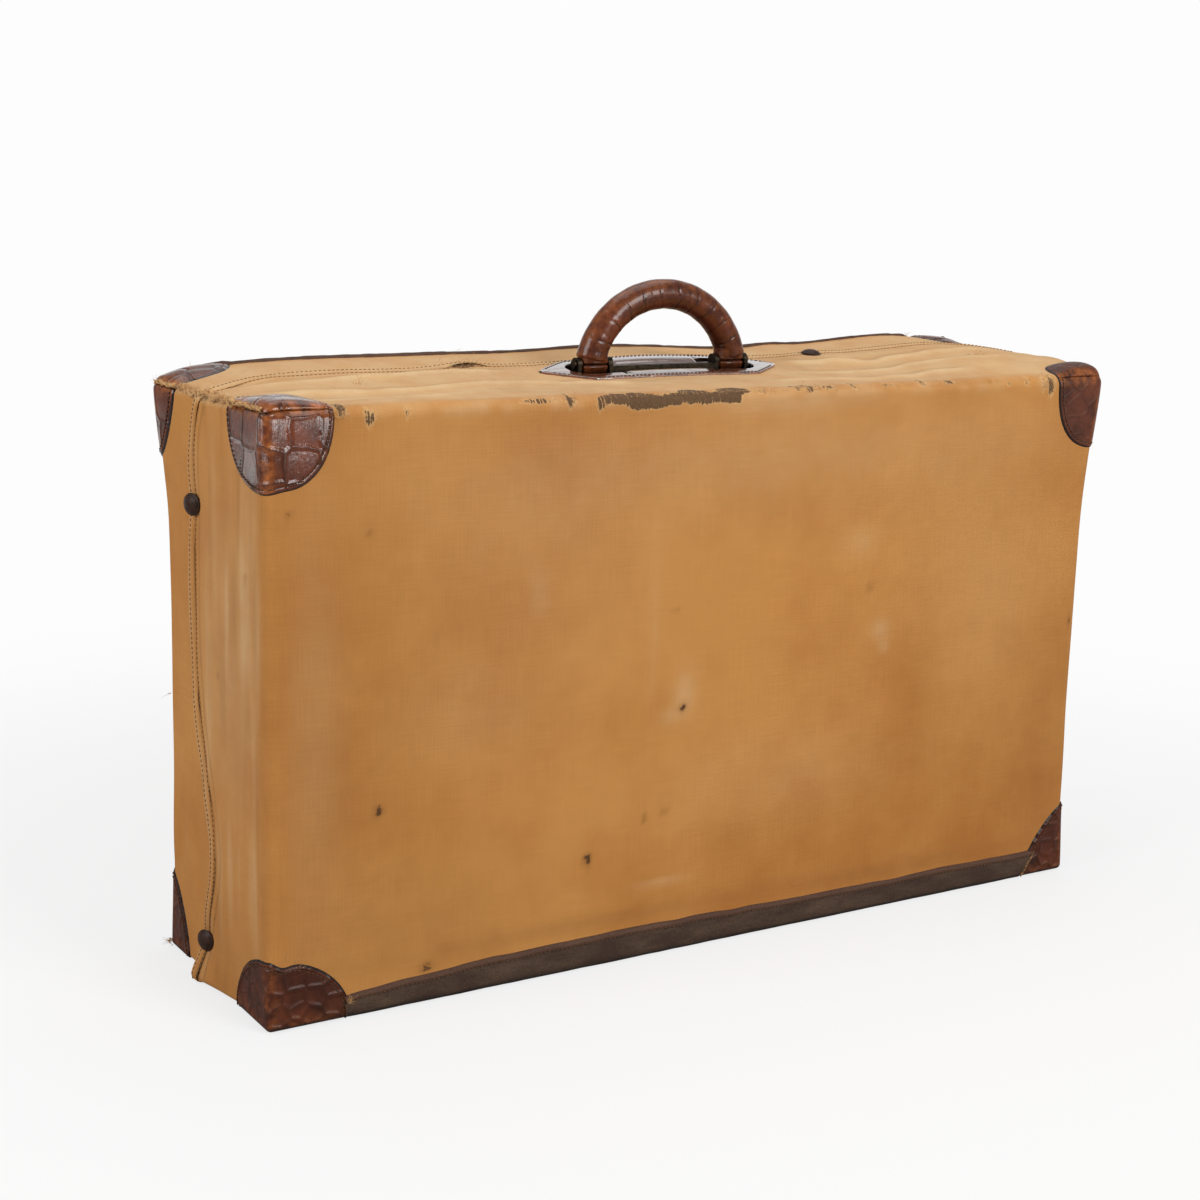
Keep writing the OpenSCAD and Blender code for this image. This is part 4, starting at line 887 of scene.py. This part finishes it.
def dusty_leather(name):
    """Vegetable-tanned cowhide whose finish has gone: matt, cracked and grey with dust, redder at turned edges, with
    painted shade along its foot.
    """
    made, tree = empty_material(name)
    where = add(tree, "TexCoord").outputs["Object"]
    long = add(tree, "Mapping", {"Vector": where, "Scale": (0.35, 1, 1)})
    scuff = add(tree, "TexNoise", {"Vector": long, "Scale": 55.0, "Detail": 7.0, "Roughness": 0.7})
    crack = add(tree, "TexVoronoi", {"Vector": where, "Scale": 420.0}, feature="DISTANCE_TO_EDGE")
    grain = add(tree, "TexNoise", {"Vector": where, "Scale": 1100.0, "Detail": 2.0})
    dust = add(tree, "MapRange", [scuff, 0.42, 0.72, 0.0, 0.85])
    brown = add(tree, "Mix", {"Factor": dust, "A": linear(STRIP_BROWN), "B": linear(STRIP_DUST)}, data_type="RGBA")
    rub = add(tree, "Attribute", attribute_name="rub").outputs["Fac"]
    edge = add(tree, "Mix", {"Factor": rub, "A": brown, "B": linear(STRIP_RED)}, data_type="RGBA")
    dark = add(tree, "MapRange", [crack, 0.0, 0.08, 0.6])
    cracked = add(tree, "Mix", {"Factor": 1.0, "A": edge, "B": dark}, data_type="RGBA", blend_type="MULTIPLY")
    # Painted shade along the strip's foot, where it meets the floor.
    foot = add(tree, "Attribute", attribute_name="raw_edge").outputs["Fac"]
    shaded_at_floor = add(tree, "Mix", {"Factor": foot, "A": cracked, "B": linear("#140E0A")}, data_type="RGBA")
    height = add(tree, "Math", [scuff, grain], operation="ADD")
    relief = add(tree, "Bump", {"Height": height, "Strength": 0.45, "Distance": 0.0005})
    shader = add(tree, "BsdfPrincipled", {"Base Color": shaded_at_floor, "Roughness": 0.68, "Specular IOR Level": 0.35,
                                          "Normal": relief})
    add(tree, "OutputMaterial", {"Surface": shader})
    return made


dusty_hide = dusty_leather("dusty_cowhide")


def turned_profile(length):
    """Distances along a strip's width, from its turned edge, and the height there as a share of its thickness.
    The edge is rolled over the canvas, a little thicker than the rest, with a stitched dip behind it."""
    d = np.concatenate([[-0.3, -0.5, -0.4, 0.0, 0.6, 1.3, 2.0, 2.8, 3.6, 4.5],
                        np.linspace(6, length / MM, max(3, round((length / MM - 6) / 3)))]) * MM
    h = np.concatenate([[-0.2, 0.3, 0.8, 1.1, 1.22, 1.2, 1.1, 0.93, 0.98], np.ones(len(d) - 9)])
    return d, h


def bottom_strip(sy):
    """Strip folded round a bottom edge: down the face from its hand-cut upper edge, then under the case."""
    inset = 0.0 if sy < 0 else TUCK
    low, high = case_box(inset)
    reach_x = half_w - inset - STRIP_GAP
    last_x = half_w - SLANT_TOP if sy < 0 else reach_x
    along = np.linspace(-reach_x, last_x, 240)
    upper = np.interp(along, *STRIP_CUT.T) + 0.5 * MM * wander(along, 17 * MM, 21)
    d, h = turned_profile(30 * MM + STRIP_UNDER)
    down = np.minimum(d[None], upper[:, None] - low_z)
    uneven = 1 + 0.08 * lumps(along[:, None], d[None], 14 * MM, 22)
    grow = (h[None] * LEATHER * uneven)[..., None]
    p = np.zeros((*down.shape, 3))
    p[..., 0] = along[:, None]
    p[..., 1] = sy * (-front_y) - sy * np.maximum(d[None] - down, 0)
    p[..., 2] = upper[:, None] - down
    if sy < 0:
        low_share = down / (upper[:, None] - low_z)
        p[..., 0] -= (SLANT_FOOT - SLANT_TOP) * low_share * eased((along - last_x) / (50 * MM) + 1)[:, None]
    out, r = np.array([0, sy, -1.0]), soft_edge(p[..., 2]) - inset
    shape, normal = rounded(p + out * grow, low - grow, high + grow, r + grow[..., 0])
    shape[..., 2] = np.maximum(shape[..., 2], 0.15 * MM)
    uv = joined(along[:, None], d[None])
    stitched = np.argmin(np.abs(d - STITCH_LINE))
    return shape, uv, d, (shape[:, stitched], normal[:, stitched])


for node, sy in (("front_bottom_strip", -1), ("back_bottom_strip", 1)):
    shape, uv, d, sewn = bottom_strip(sy)
    made = piece(f"leather_{node}", [(shape, uv)], dusty_hide, flip={0} if sy < 0 else ())
    paint(made, "rub", np.broadcast_to(np.where(d < 2.0 * MM, 0.6, 0.0), shape.shape[:2]).ravel())
    # Painted shade along the strip's foot, where it turns under to the floor.
    paint(made, "raw_edge", floor_shade(points_of(made)[:, 2]))
    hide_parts(node)
    body = "front_half" if sy < 0 else "back_half"
    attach(made, body)
    seams.append((body, [sewn]))

BINDING_TOP, BINDING_BACK = 6 * MM, 20 * MM
BINDING_LEFT, BINDING_RIGHT = -338 * MM, 306 * MM
TORN_X, TORN_L = 336 * MM, 24 * MM


def binding(x0, x1, steps, seed):
    """Binding over the back top edge from x0 to x1: its width on the top is ragged, and its ends are torn."""
    along = np.linspace(x0, x1, steps)
    low, high = case_box(TUCK)
    d, h = turned_profile(BINDING_TOP + BINDING_BACK)
    torn = eased(np.minimum(along - x0, x1 - along) / (9 * MM))
    width = BINDING_TOP * torn + 1.3 * MM * wander(along, 6 * MM, seed)
    on_top = np.minimum(d[None], width[:, None])
    over_corner = 0.9 * eased((STRIP_GAP - half_w - along) / (6 * MM))
    grow = ((h[None] + over_corner[:, None]) * LEATHER)[..., None]
    p = np.zeros((steps, len(d), 3))
    p[..., 0] = along[:, None]
    p[..., 1] = -front_y - (width[:, None] - on_top)
    p[..., 2] = high[2] - np.maximum(d[None] - on_top, 0)
    r = soft_edge(p[..., 2]) - TUCK
    shape, _ = rounded_on(p + np.array([0, 1.0, 1.0]) * grow, low - grow, high + grow, r + grow[..., 0])
    return shape, joined(along[:, None], d[None]), d


long_part, long_uv, d = binding(BINDING_LEFT, BINDING_RIGHT, 230, 31)
scrap, scrap_uv, _ = binding(TORN_X - TORN_L / 2, TORN_X + TORN_L / 2, 30, 32)
curl = eased((scrap[..., 0] - TORN_X + 2 * MM) / (14 * MM))
scrap[..., 2] += 5 * MM * curl ** 2
made = piece("leather_back_binding", [(long_part, long_uv), (scrap, scrap_uv)], dusty_hide)
paint(made, "rub", np.tile(np.where(d < 1.5 * MM, 0.4, 0.0), len(long_part) + len(scrap)))
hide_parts("back_top_strip")
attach(made, "back_half")


# Handle patch
# Smooth polished calf round the handle's slot, pointed at both ends, stitched to the canvas along its outer edge.
# Years of folding the handle down have pressed its inner edge into the slot.
PATCH_L, PATCH_W, PATCH_T, PATCH_ROWS = 206 * MM, 50 * MM, 1.5 * MM, 18
POINT_L = (PATCH_L - SLOT_L) / 2 + SLOT_W / 3


def slot_half_width(x):
    """Half the slot's width at a place along it, 0 past its round ends."""
    ax, r = np.abs(x), SLOT_W / 2
    straight = SLIT_W / 2 + (r - SLIT_W / 2) * eased((ax - SLOT_L / 2 + OPENING_L + 1 * MM) / (3 * MM))
    return np.where(ax < SLOT_L / 2 - r, straight, np.sqrt(np.maximum(r ** 2 - (ax - SLOT_L / 2 + r) ** 2, 0.0)))


def patch_half_width(x):
    """Half the patch's width: straight sides that draw in to a blunt point at each end."""
    toward = np.clip((PATCH_L / 2 - np.abs(x)) / POINT_L, 0, 1)
    return PATCH_W / 2 * (0.06 + 0.94 * toward ** 0.85)


def patch_side(way):
    """One long side of the patch: columns along the case, rows from the slot's edge to the outer edge."""
    along = np.unique(np.concatenate([np.linspace(-PATCH_L / 2, PATCH_L / 2, 190),
                                      *[s * np.linspace(SLOT_L / 2 - 3 * MM, SLOT_L / 2, 9) for s in (-1, 1)]]))
    inner, outer = slot_half_width(along)[:, None], patch_half_width(along)[:, None]
    t = np.concatenate([[0, 0, 0], np.linspace(0, 1, PATCH_ROWS), [1, 1, 1]])[None]
    past = np.array([0.3, -0.4, -0.2] + [0.0] * PATCH_ROWS + [0.3, 0.5, 0.2])[None] * MM
    h = np.array([-1.2, 0.0, 0.6] + [1.0] * PATCH_ROWS + [0.75, 0.3, -0.3])[None]
    open_here = inner > 0.1 * MM
    uncut = (np.arange(t.size)[None] < 3) & ~open_here
    h, past = np.where(uncut, 1.0, h), np.where(uncut, 0.0, past)
    y = inner + t * (outer - inner) + past
    from_edge = outer - y
    h = h - 0.18 * bump(from_edge - STITCH_LINE, 0.9 * MM)
    sink = 2.2 * MM * bump(y - inner, 5 * MM) * open_here * eased((45 * MM - np.abs(along[:, None])) / (12 * MM))
    x, y = np.broadcast_arrays(along[:, None], way * y)
    z = top_z + crown(x, y) + h * PATCH_T - sink
    sewn_y = way * (outer[:, 0] - STITCH_LINE)
    sewn = joined(along, sewn_y, top_z + crown(along, sewn_y) + 1.25 * MM)[6:-6]
    return joined(x, y, z), joined(x, y), sewn


polished_calf = croc_leather("polished_calf", "#6A3A26", scale=34 * MM, stretch=1.4, jitter=0.9, depth=0.12,
                             gloss=0.07, rubbed=0.55, glaze=1.0, shine=0.7, coat_ior=1.9)
sides = [patch_side(-1), patch_side(1)]
patch = piece("leather_handle_patch", [(p, uv) for p, uv, _ in sides], polished_calf, merge=3e-5, flip={0})
x, y, z = points_of(patch).T
from_edge = patch_half_width(x) - np.abs(y)
paint(patch, "rub", np.clip(0.8 * bump(from_edge, 2.2 * MM), 0, 1))
paint(patch, "raw_edge", np.clip(bump(np.abs(y) - slot_half_width(x), 0.5 * MM) * (slot_half_width(x) > 0), 0, 1))
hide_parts("handle_patch")
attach(patch, "front_half")
seams.append(("front_half", [(sewn, (0.0, 0.0, 1.0)) for _, _, sewn in sides]))


# Handle
# A steel core bent to an arch and wrapped in the same calf, in creased segments that hands have polished.
# Each end is a leather-covered foot that turns on a pin between two ears of the bracket.
PIN_X, PIN_Z = 60 * MM, next(j for j in frame["joints"] if j["name"] == "handle_fold")["pos_m"][2]
GRIP_R, FOOT_R, FOOT_L, NECK_R, NECK_Z = (v * MM for v in (11.2, 8.6, 21.4, 10.4, 432))
ARCH_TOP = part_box("handle_grip")[1].z - GRIP_R + 2.5 * MM
ARCH_R = (PIN_X ** 2 + (ARCH_TOP - PIN_Z) ** 2) / (2 * (ARCH_TOP - PIN_Z))
ARCH_Z = ARCH_TOP - ARCH_R
SEGMENTS = 11


def grip_tube(steps=177, sides=44):
    """The arch as a tube: each segment swells a little, and the creases between them bite in on the inner side.
    Comes with how deep the crease is at each point and how far it lies to the outside of the arch."""
    start = math.asin((NECK_Z - 5 * MM - ARCH_Z) / ARCH_R)
    turn = np.linspace(math.pi - start, start, steps)[:, None]
    round_it = np.linspace(0, 2 * math.pi, sides)[None]
    segment = (math.pi - start - turn) / (math.pi - 2 * start) * SEGMENTS
    sway = 0.07 * np.sin(3 * round_it + 5 * np.round(segment))
    off = segment + sway - np.round(segment + sway)
    outside = np.cos(round_it)
    bite = bump(off, 0.03) * eased(0.85 - 0.6 * outside) * ((segment > 0.3) & (segment < SEGMENTS - 0.3))
    swell = 0.2 * MM * (np.cos(2 * math.pi * off) - 1) * 0.5
    swell = swell + 0.08 * MM * lumps(segment * 9 * MM, round_it * 5 * MM, 8 * MM, 41)
    r = GRIP_R - 0.15 * MM + swell - 0.75 * MM * bite
    r[[0, -1]] -= 1.6 * MM
    r[[1, -2]] -= 0.3 * MM
    arm, spread = ARCH_R + r * np.cos(round_it), 2.5 * MM * np.cos(turn)
    p = joined(arm * np.cos(turn) + spread, r * np.sin(round_it), ARCH_Z + arm * np.sin(turn))
    p[:, -1] = p[:, 0]
    uv = joined(round_it * GRIP_R, segment * 14 * MM)
    return p, uv, bite, outside


def foot_shell(side, sides=40):
    """Leather round a foot, from the grip's end down to a half round about the pin, and wider along the pin."""
    theta = np.linspace(0, math.pi / 2, 14)[1:]
    z = np.concatenate([[NECK_Z + 2 * MM, NECK_Z + 1.2 * MM, NECK_Z + 0.7 * MM], np.linspace(NECK_Z, PIN_Z, 9),
                        PIN_Z - FOOT_R * np.sin(theta)])
    down = np.clip((NECK_Z - z) / (NECK_Z - PIN_Z), 0, 1)
    through = np.where(z > PIN_Z, NECK_R + (FOOT_R - NECK_R) * eased(down), 0.0)
    through[-len(theta):] = FOOT_R * np.cos(theta)
    wide = GRIP_R + (FOOT_L / 2 - GRIP_R) * eased(down * 1.4)
    wide[-len(theta):] -= 1.6 * MM * (1 - np.cos(theta))
    wide[0], through[0] = 7 * MM, 7 * MM
    middle = side * (np.sqrt(ARCH_R ** 2 - (np.maximum(z, PIN_Z) - ARCH_Z) ** 2) + 1.5 * MM * (1 - eased(down)))
    a = np.linspace(0, 2 * math.pi, sides)
    square = 2 / (2.0 + 1.2 * eased(down))[:, None]
    ca, sa = np.cos(a)[None], np.sin(a)[None]
    p = joined(middle[:, None] + wide[:, None] * np.sign(ca) * np.abs(ca) ** square,
               through[:, None] * np.sign(sa) * np.abs(sa) ** square, z[:, None])
    p[:, -1] = p[:, 0]
    # Painted shade in the crease where the foot meets the grip, and low round the pin.
    crease = 0.8 * bump(z - NECK_Z - 1.2 * MM, 0.5 * MM) + 0.6 * eased((PIN_Z - 3 * MM - z) / (5 * MM))
    return p, joined(a[None] * 10 * MM, z[:, None]), crease


handle_calf = croc_leather("polished_handle_calf", "#5E2C18", scale=15 * MM, stretch=2.6, jitter=0.5, depth=0.12,
                           gloss=0.2, rubbed=0.5, glaze=0.3, shine=0.2)
tube, tube_uv, bite, outside = grip_tube()
# The grip's crease bites are also darkened, as painted shade in the creases.
grip = piece("leather_grip", [(tube, tube_uv)], handle_calf,
             layers={"raw_edge": [np.clip(0.9 * bite, 0, 1)], "rub": [0.35 + 0.35 * outside]})
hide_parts("handle_grip")
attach(grip, "handle")
for word, side in (("left", -1), ("right", 1)):
    shell, shell_uv, crease = foot_shell(side)
    foot = piece(f"leather_foot_{word}", [(shell, shell_uv)], handle_calf, merge=2e-6,
                 layers={"raw_edge": [crease[:, None]], "rub": [np.array([[0.4]])]})
    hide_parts(f"handle_foot_{word}")
    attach(foot, "handle")


# Handle bracket
# A cast brass plate with ears and a bar between them, bronzed dark and mottled with wear.
# Its plate, pins and washers keep the part's own shape.
def plain(name, dark, light, metal, rough, scale, relief=0.15, shine=0.5):
    """A finish of two tones mixed by noise of that many cells to a metre, with a slight unevenness."""
    made, tree = empty_material(name)
    where = add(tree, "TexCoord").outputs["Object"]
    noise = add(tree, "TexNoise", {"Vector": where, "Scale": scale, "Detail": 5.0, "Roughness": 0.65})
    share = add(tree, "MapRange", [noise, 0.38, 0.66])
    tone = add(tree, "Mix", {"Factor": share, "A": linear(dark), "B": linear(light)}, data_type="RGBA")
    uneven = add(tree, "Bump", {"Height": noise, "Strength": relief, "Distance": 0.0004})
    shader = add(tree, "BsdfPrincipled", {"Base Color": tone, "Metallic": metal, "Roughness": rough,
                                          "Specular IOR Level": shine, "Normal": uneven})
    add(tree, "OutputMaterial", {"Surface": shader})
    return made


def finish_nodes(material, *names):
    """Gives CAD nodes that stay in view a dressed finish."""
    for name in names:
        frame["nodes"][name].material_slots[0].material = material


finish_nodes(plain("bronzed_brass", "#19130E", "#3F3323", metal=0.85, rough=0.42, scale=260.0), "handle_plate",
             "handle_pins", "handle_washers")


# Press studs
# Domed brass caps japanned dark brown, sprung on to posts in the back half. Their pull has puckered the hem,
# so that they lean forward. The cap on the left of the top is gone and has left a torn hole.
STUD_R, STUD_LEAN = 7.8 * MM, math.radians(23)
CAP = np.array([(0.55, -2.6), (0.55, 0.0), (0.93, 0.0), (1.0, 0.35), (0.99, 0.8), (0.93, 1.1), (0.86, 1.2),
                (0.80, 1.7), (0.62, 2.5), (0.36, 3.1), (0.12, 3.3), (0.0, 3.3)])


def stud_cap(place, outward, lean_to, lean=STUD_LEAN):
    """A cap turned from its half section, standing on the canvas and leaning forward."""
    n = unit(math.cos(lean) * np.array(outward, float) + math.sin(lean) * np.array(lean_to, float))
    side = unit(np.cross(n, [0.3, 0.2, 1.0]))
    other = np.cross(n, side)
    a = np.linspace(0, 2 * math.pi, 29)[None, :, None]
    ring, up = CAP[:, None, None, 0] * STUD_R, CAP[:, None, None, 1] * MM
    seat = np.array(place) + STUD_R * math.sin(lean) * np.array(outward)
    p = seat + ring * (np.cos(a) * side + np.sin(a) * other) + up * n
    return p, joined(a[..., 0] * 5 * MM, CAP[:, None, 1] * MM)


seats = [np.array([end * half_w, hem_end(np.float64(z)) - STUD_INSET, z]) for end in (-1, 1) for z in STUD_HEIGHTS]
caps = [stud_cap(seat + [out_of_square(seat), 0, 0], (np.sign(seat[0]), 0, 0), (0, -1, 0)) for seat in seats]
stud_y = hem_top(np.float64(STUD_TOP_X)) - STUD_INSET
caps.append(stud_cap((STUD_TOP_X, stud_y, top_z + crown(np.float64(STUD_TOP_X), stud_y)), (0, 0, 1), (0, -1, 0), 0.1))
studs = piece("press_stud_caps", caps, plain("dark_japan", "#24160F", "#432A1D", metal=0.0, rough=0.45, scale=500.0,
                                             shine=0.18))
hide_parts("stud_caps")
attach(studs, "front_half")
finish_nodes(plain("stud_brass", "#4A3A22", "#7A6238", metal=0.9, rough=0.4, scale=300.0), "stud_posts")


# Stitches
# Waxed linen thread: one row round each leather corner, along each bottom strip and round the patch, two rows along
# the canvas hem.
# Each stitch is a short bead of thread that dips into the cloth at both ends.
STITCH_PITCH, STITCH_L, THREAD_R = 3.4 * MM, 2.5 * MM, 0.42 * MM


def stitch_row(points, normals):
    """Stitches at even steps along a line: beads of five rings and five sides, lying on the surface."""
    normals = np.broadcast_to(normals, points.shape)
    length = run_length(points)
    at = np.arange(STITCH_PITCH / 2, length[-1], STITCH_PITCH)
    middle, ahead, up = (joined(*[np.interp(where, length, column) for column in line.T])
                         for where, line in ((at, points), (at + 0.4 * MM, points), (at, normals)))
    along, up = unit(ahead - middle), unit(up)
    side = np.cross(along, up)
    t = np.array([-0.5, -0.38, 0.0, 0.38, 0.5])
    thick, rise = np.array([0.35, 0.9, 1.0, 0.9, 0.35]), np.array([-0.5, 0.35, 0.6, 0.35, -0.5])
    a = np.linspace(0, 2 * math.pi, 6)
    ring = (np.cos(a)[None, :, None] * side[:, None, None] + np.sin(a)[None, :, None] * up[:, None, None])
    bead = (middle[:, None, None] + (t * STITCH_L)[None, :, None, None] * along[:, None, None]
            + (rise * THREAD_R)[None, :, None, None] * up[:, None, None]
            + (thick * THREAD_R)[None, :, None, None] * ring)
    return [(b, b[..., :2]) for b in bead]


thread = plain("waxed_linen", "#3A2415", "#61401F", metal=0.0, rough=0.8, scale=800.0)
hem_rows = [np.concatenate([left[k], top[1:-1, k], right_end[k, ::-1]]) for k in (-5, -15)]
sewn_hem = [(row, hem_up * np.sign((hem_up * (row - [0, 0, 0.2])).sum(-1, keepdims=True))) for row in hem_rows]
made = piece("stitches_hem", [bead for line in sewn_hem for bead in stitch_row(*line)],
             plain("tan_cotton_thread", "#80562A", "#A5753E", metal=0.0, rough=0.85, scale=800.0))
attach(made, "front_half")
for body in ("front_half", "back_half"):
    rows = [bead for half, lines in seams if half == body for line in lines for bead in stitch_row(*line)]
    made = piece(f"stitches_{body}", rows, thread)
    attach(made, body)


# Frayed seams
# The seams between top and ends were sewn inside out and bound; the binding is gone, and their raw edges have
# rolled and frayed along the left end. Tears at the studs, corners and worn places have shed threads too.
def seam_edge(y0, y1, steps, inset, stand):
    """Points along the edge between the top and the left end, standing off it, with their outward direction.
    The box is made longer, so that only that edge is rounded."""
    p = joined(inset - half_w, np.linspace(y0, y1, steps), top_z - inset)
    low, high = case_box(inset) + np.array([(0, -1, 0), (0, 1, 0)])
    shape, normal = rounded_on(p, low, high, soft_edge(p[:, 2]) - inset)
    return shape + stand * normal, normal


STRAND_LAY = 9 * MM


def raw_roll(points, normals, radius, seed, sides=13):
    """A rolled raw edge: a tube along a line, twisted into two strands, whose lay, thickness and place
    wander as the loosened weave does. Comes with painted shade between the strands: how deep each point lies between
    them."""
    normals = np.broadcast_to(normals, points.shape)
    along = run_length(points)
    ahead = unit(np.gradient(points, axis=0))
    across = np.cross(ahead, normals)
    a = np.linspace(0, 2 * math.pi, sides)
    lay = 2 * math.pi * along / STRAND_LAY + 3.5 * wander(along, 6 * MM, seed + 2)
    strand = np.cos(2 * a[None] + lay[:, None])
    thick = radius * (1 + 0.16 * strand + 0.5 * lumps(along[:, None], a[None] * 3 * MM, 2.4 * MM, seed))
    thick[[0, -1]] *= 0.2
    thick[:, -1] = thick[:, 0]
    drift = 0.9 * radius * wander(along, 7 * MM, seed + 1)
    loosened = 0.9 * lumps(along[:, None], a[None] * 4 * MM, 1.6 * MM, seed + 3)
    p = (points + drift[:, None] * across)[:, None] + thick[..., None] * (
        np.cos(a)[None, :, None] * across[:, None] + np.sin(a)[None, :, None] * normals[:, None])
    return (p, joined(along[:, None], a[None] * radius)), 0.75 * eased(loosened - strand - 0.2)


def fibres(roots, ways, length, seed, radius=0.2 * MM):
    """Loose threads: each leaves its root near a given direction and bends away, thinning to its tip. One that
    would pass through the floor lies on it."""
    rng = np.random.default_rng(seed)
    n = len(roots)
    way = unit(ways + rng.normal(0, 0.55, (n, 3)))
    size = length * rng.uniform(0.4, 1.0, (n, 1, 1))
    t = np.linspace(0, 1, 6)[None, :, None]
    line = roots[:, None] + size * (t * way[:, None] + t ** 2 * rng.normal(0, 0.45, (n, 1, 3)))
    line[..., 2] = np.maximum(line[..., 2], 2 * radius)
    side = unit(np.cross(way, rng.normal(0, 1, (n, 3))))
    other = np.cross(way, side)
    a = np.linspace(0, 2 * math.pi, 4)[None, None, :, None]
    ring = radius * (1.05 - t)[:, :, None] * (np.cos(a) * side[:, None, None] + np.sin(a) * other[:, None, None])
    p = line[:, :, None] + ring
    return [(f, f[..., :2]) for f in p]


def strewn(points, normals, count, seed, scatter=0.0):
    """Random places along a line, with the direction out of the cloth there."""
    rng = np.random.default_rng(seed)
    i = rng.integers(0, len(points), count)
    return points[i] + rng.normal(0, 1, (count, 3)) * scatter, np.broadcast_to(normals, points.shape)[i]


# Tears on flat cloth, by body: place in mm, direction out, how many threads, their length and spread in mm.
# One higher than FLAT_TOP is set on the crowned top.
FLAT_TOP = 413
TEARS = {
    "front_half": [((-152, 29, 421), (0.5, -0.6, 0.3), 90, 5, 9), ((-300, -94, 408), (0.3, -1, 0.2), 34, 6, 4),
                   ((303, -94, 408), (-0.3, -1, 0.2), 30, 5, 4), ((283, -30, 417), (0, -0.4, 1), 26, 6, 4),
                   ((-248, -8, 417), (0, -0.3, 1), 16, 5, 4), ((60, -92, 414), (0, -0.7, 0.7), 14, 4, 4),
                   ((-131, -93, 412), (0, -0.8, 0.6), 14, 4, 3), ((-108, -94, 409), (0, -1, 0.3), 14, 4, 3),
                   ((-296, -95, 14), (0.2, -1, 0.3), 16, 6, 2), ((-335, -94, 50), (0, -1, 0.6), 12, 4, 5)],
    "back_half": [((-353, 91, 3), (-0.7, 0.6, 0.2), 40, 6, 1.5), ((-351, 88, 190), (-1, 0.4, 0), 3, 6, 0.5),
                  ((-335, 82, 420), (-0.2, 0.3, 0.5), 24, 5, 3), ((306, 88, 420), (0.8, 0.1, 0.1), 14, 4, 1.5)]}
meeting = hem_end(np.float64(top_z))
worn_edge, fuzzy_edge = (joined(np.linspace(*run, 60) * MM, front_y + 1.5 * MM, top_z - 1 * MM)
                         for run in ((-103, 16), (20, 292)))
strip_end = joined(half_w - np.linspace(SLANT_FOOT, SLANT_TOP, 16), front_y - LEATHER, np.linspace(1.5, 21, 16) * MM)
frays = {
    "front_half": [seam_edge(meeting - 1 * MM, -42 * MM, 70, 0.0, 1.8 * MM),
                   seam_edge(-42 * MM, front_y + 6 * MM, 60, 0.0, 2.6 * MM)],
    "back_half": [seam_edge(meeting + 3 * MM, 52 * MM, 44, TUCK, 1.8 * MM),
                  seam_edge(52 * MM, 86 * MM, 40, TUCK, 2.4 * MM)]}
for body, (over_cloth, over_corner) in frays.items():
    edge, out = over_cloth
    rolls = [raw_roll(edge, out, 2.4 * MM, 51), raw_roll(edge - 1.6 * MM * out + [4.2 * MM, 0, 0], out, 1.7 * MM, 53),
             raw_roll(*over_corner, 1.3 * MM, 55)]
    if body == "front_half":
        torn_end, shade = raw_roll(strip_end, (0.0, -1.0, 0.0), 0.7 * MM, 65)
        rolls.append((torn_end, 0.6 + 0.4 * shade))
    grids, gaps = [r[0] for r in rolls], [r[1] for r in rolls]
    for line, count, length in ((over_cloth, 260, 6 * MM), (over_corner, 150, 4 * MM)):
        grids += fibres(*strewn(*line, count, 57, 0.8 * MM), length, 58)
    for place, way, count, length, spread in TEARS[body]:
        spot, on_top = np.array([place]) * MM, place[2] > FLAT_TOP
        if on_top:
            spot[0, 2] = top_z + crown(spot[0, 0], spot[0, 1]) - (TUCK if body == "back_half" else 0.0)
        roots, ways = strewn(spot, way, count, 61 + count, spread * MM * 0.6)
        if on_top:
            roots[:, 2] = np.maximum(roots[:, 2], spot[0, 2])
        grids += fibres(roots, ways, length * MM, 62 + count)
    if body == "front_half":
        grids += fibres(*strewn(worn_edge, (0.0, -0.8, 0.6), 120, 71, 0.7 * MM), 3.5 * MM, 72)
        grids += fibres(*strewn(fuzzy_edge, (0.0, -0.8, -0.3), 150, 73, 0.8 * MM), 3 * MM, 74)
    gaps += [np.array([[0.0]])] * (len(grids) - len(gaps))
    # The gaps between the strands go into the stain layer as painted shade.
    made = piece(f"canvas_frays_{body}", grids, canvas, merge=1e-7,
                 layers={"fade": [np.array([[0.55]])] * len(grids), "stain": gaps})
    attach(made, body)


# Hinge gusset
# A strip of the same twill glued under the case across the gap between the halves, where the hinge turns.
GUSSET_L, GUSSET_W = 2 * (half_w - 12 * MM), 18 * MM
gusset_xs = np.linspace(-GUSSET_L / 2, GUSSET_L / 2, 90)
gusset_ys = hinge[1] + np.linspace(-GUSSET_W / 2, GUSSET_W / 2, 15)
under = panel(gusset_xs, gusset_ys, lambda x, y: ((x, y, low_z - 0.5 * MM), (x, y)))
gusset = piece("canvas_hinge_gusset", [under], canvas, flip={0})
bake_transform(gusset)


# Inside of the case
# Brown fibreboard trays lined with buff paper cloth, a softwood lip round the mouth, and plain sheet-steel
# hinges, rivets and locks. They keep the part's own shapes.
finish_nodes(plain("brown_fibreboard", "#4A2E1A", "#6B4527", metal=0.0, rough=0.6, scale=120.0, relief=0.25),
             "case_base", "case_lid")
finish_nodes(plain("buff_paper_cloth", "#B69B6E", "#CDB78E", metal=0.0, rough=0.9, scale=60.0, relief=0.1),
             "base_lining", "lid_lining")
finish_nodes(plain("planed_softwood", "#9C713F", "#BD9058", metal=0.0, rough=0.65, scale=90.0, relief=0.15),
             "frame_lip")
finish_nodes(plain("sheet_steel", "#6B665F", "#99938A", metal=0.9, rough=0.4, scale=320.0), "base_hinge_leaves",
             "lid_hinge_leaves", "hinge_pins", "base_hinge_rivets", "lid_hinge_rivets", "lock_plate_left",
             "lock_plate_right", "lock_hasp_left", "lock_hasp_right", "lock_bolt_left", "lock_bolt_right",
             "handle_core")
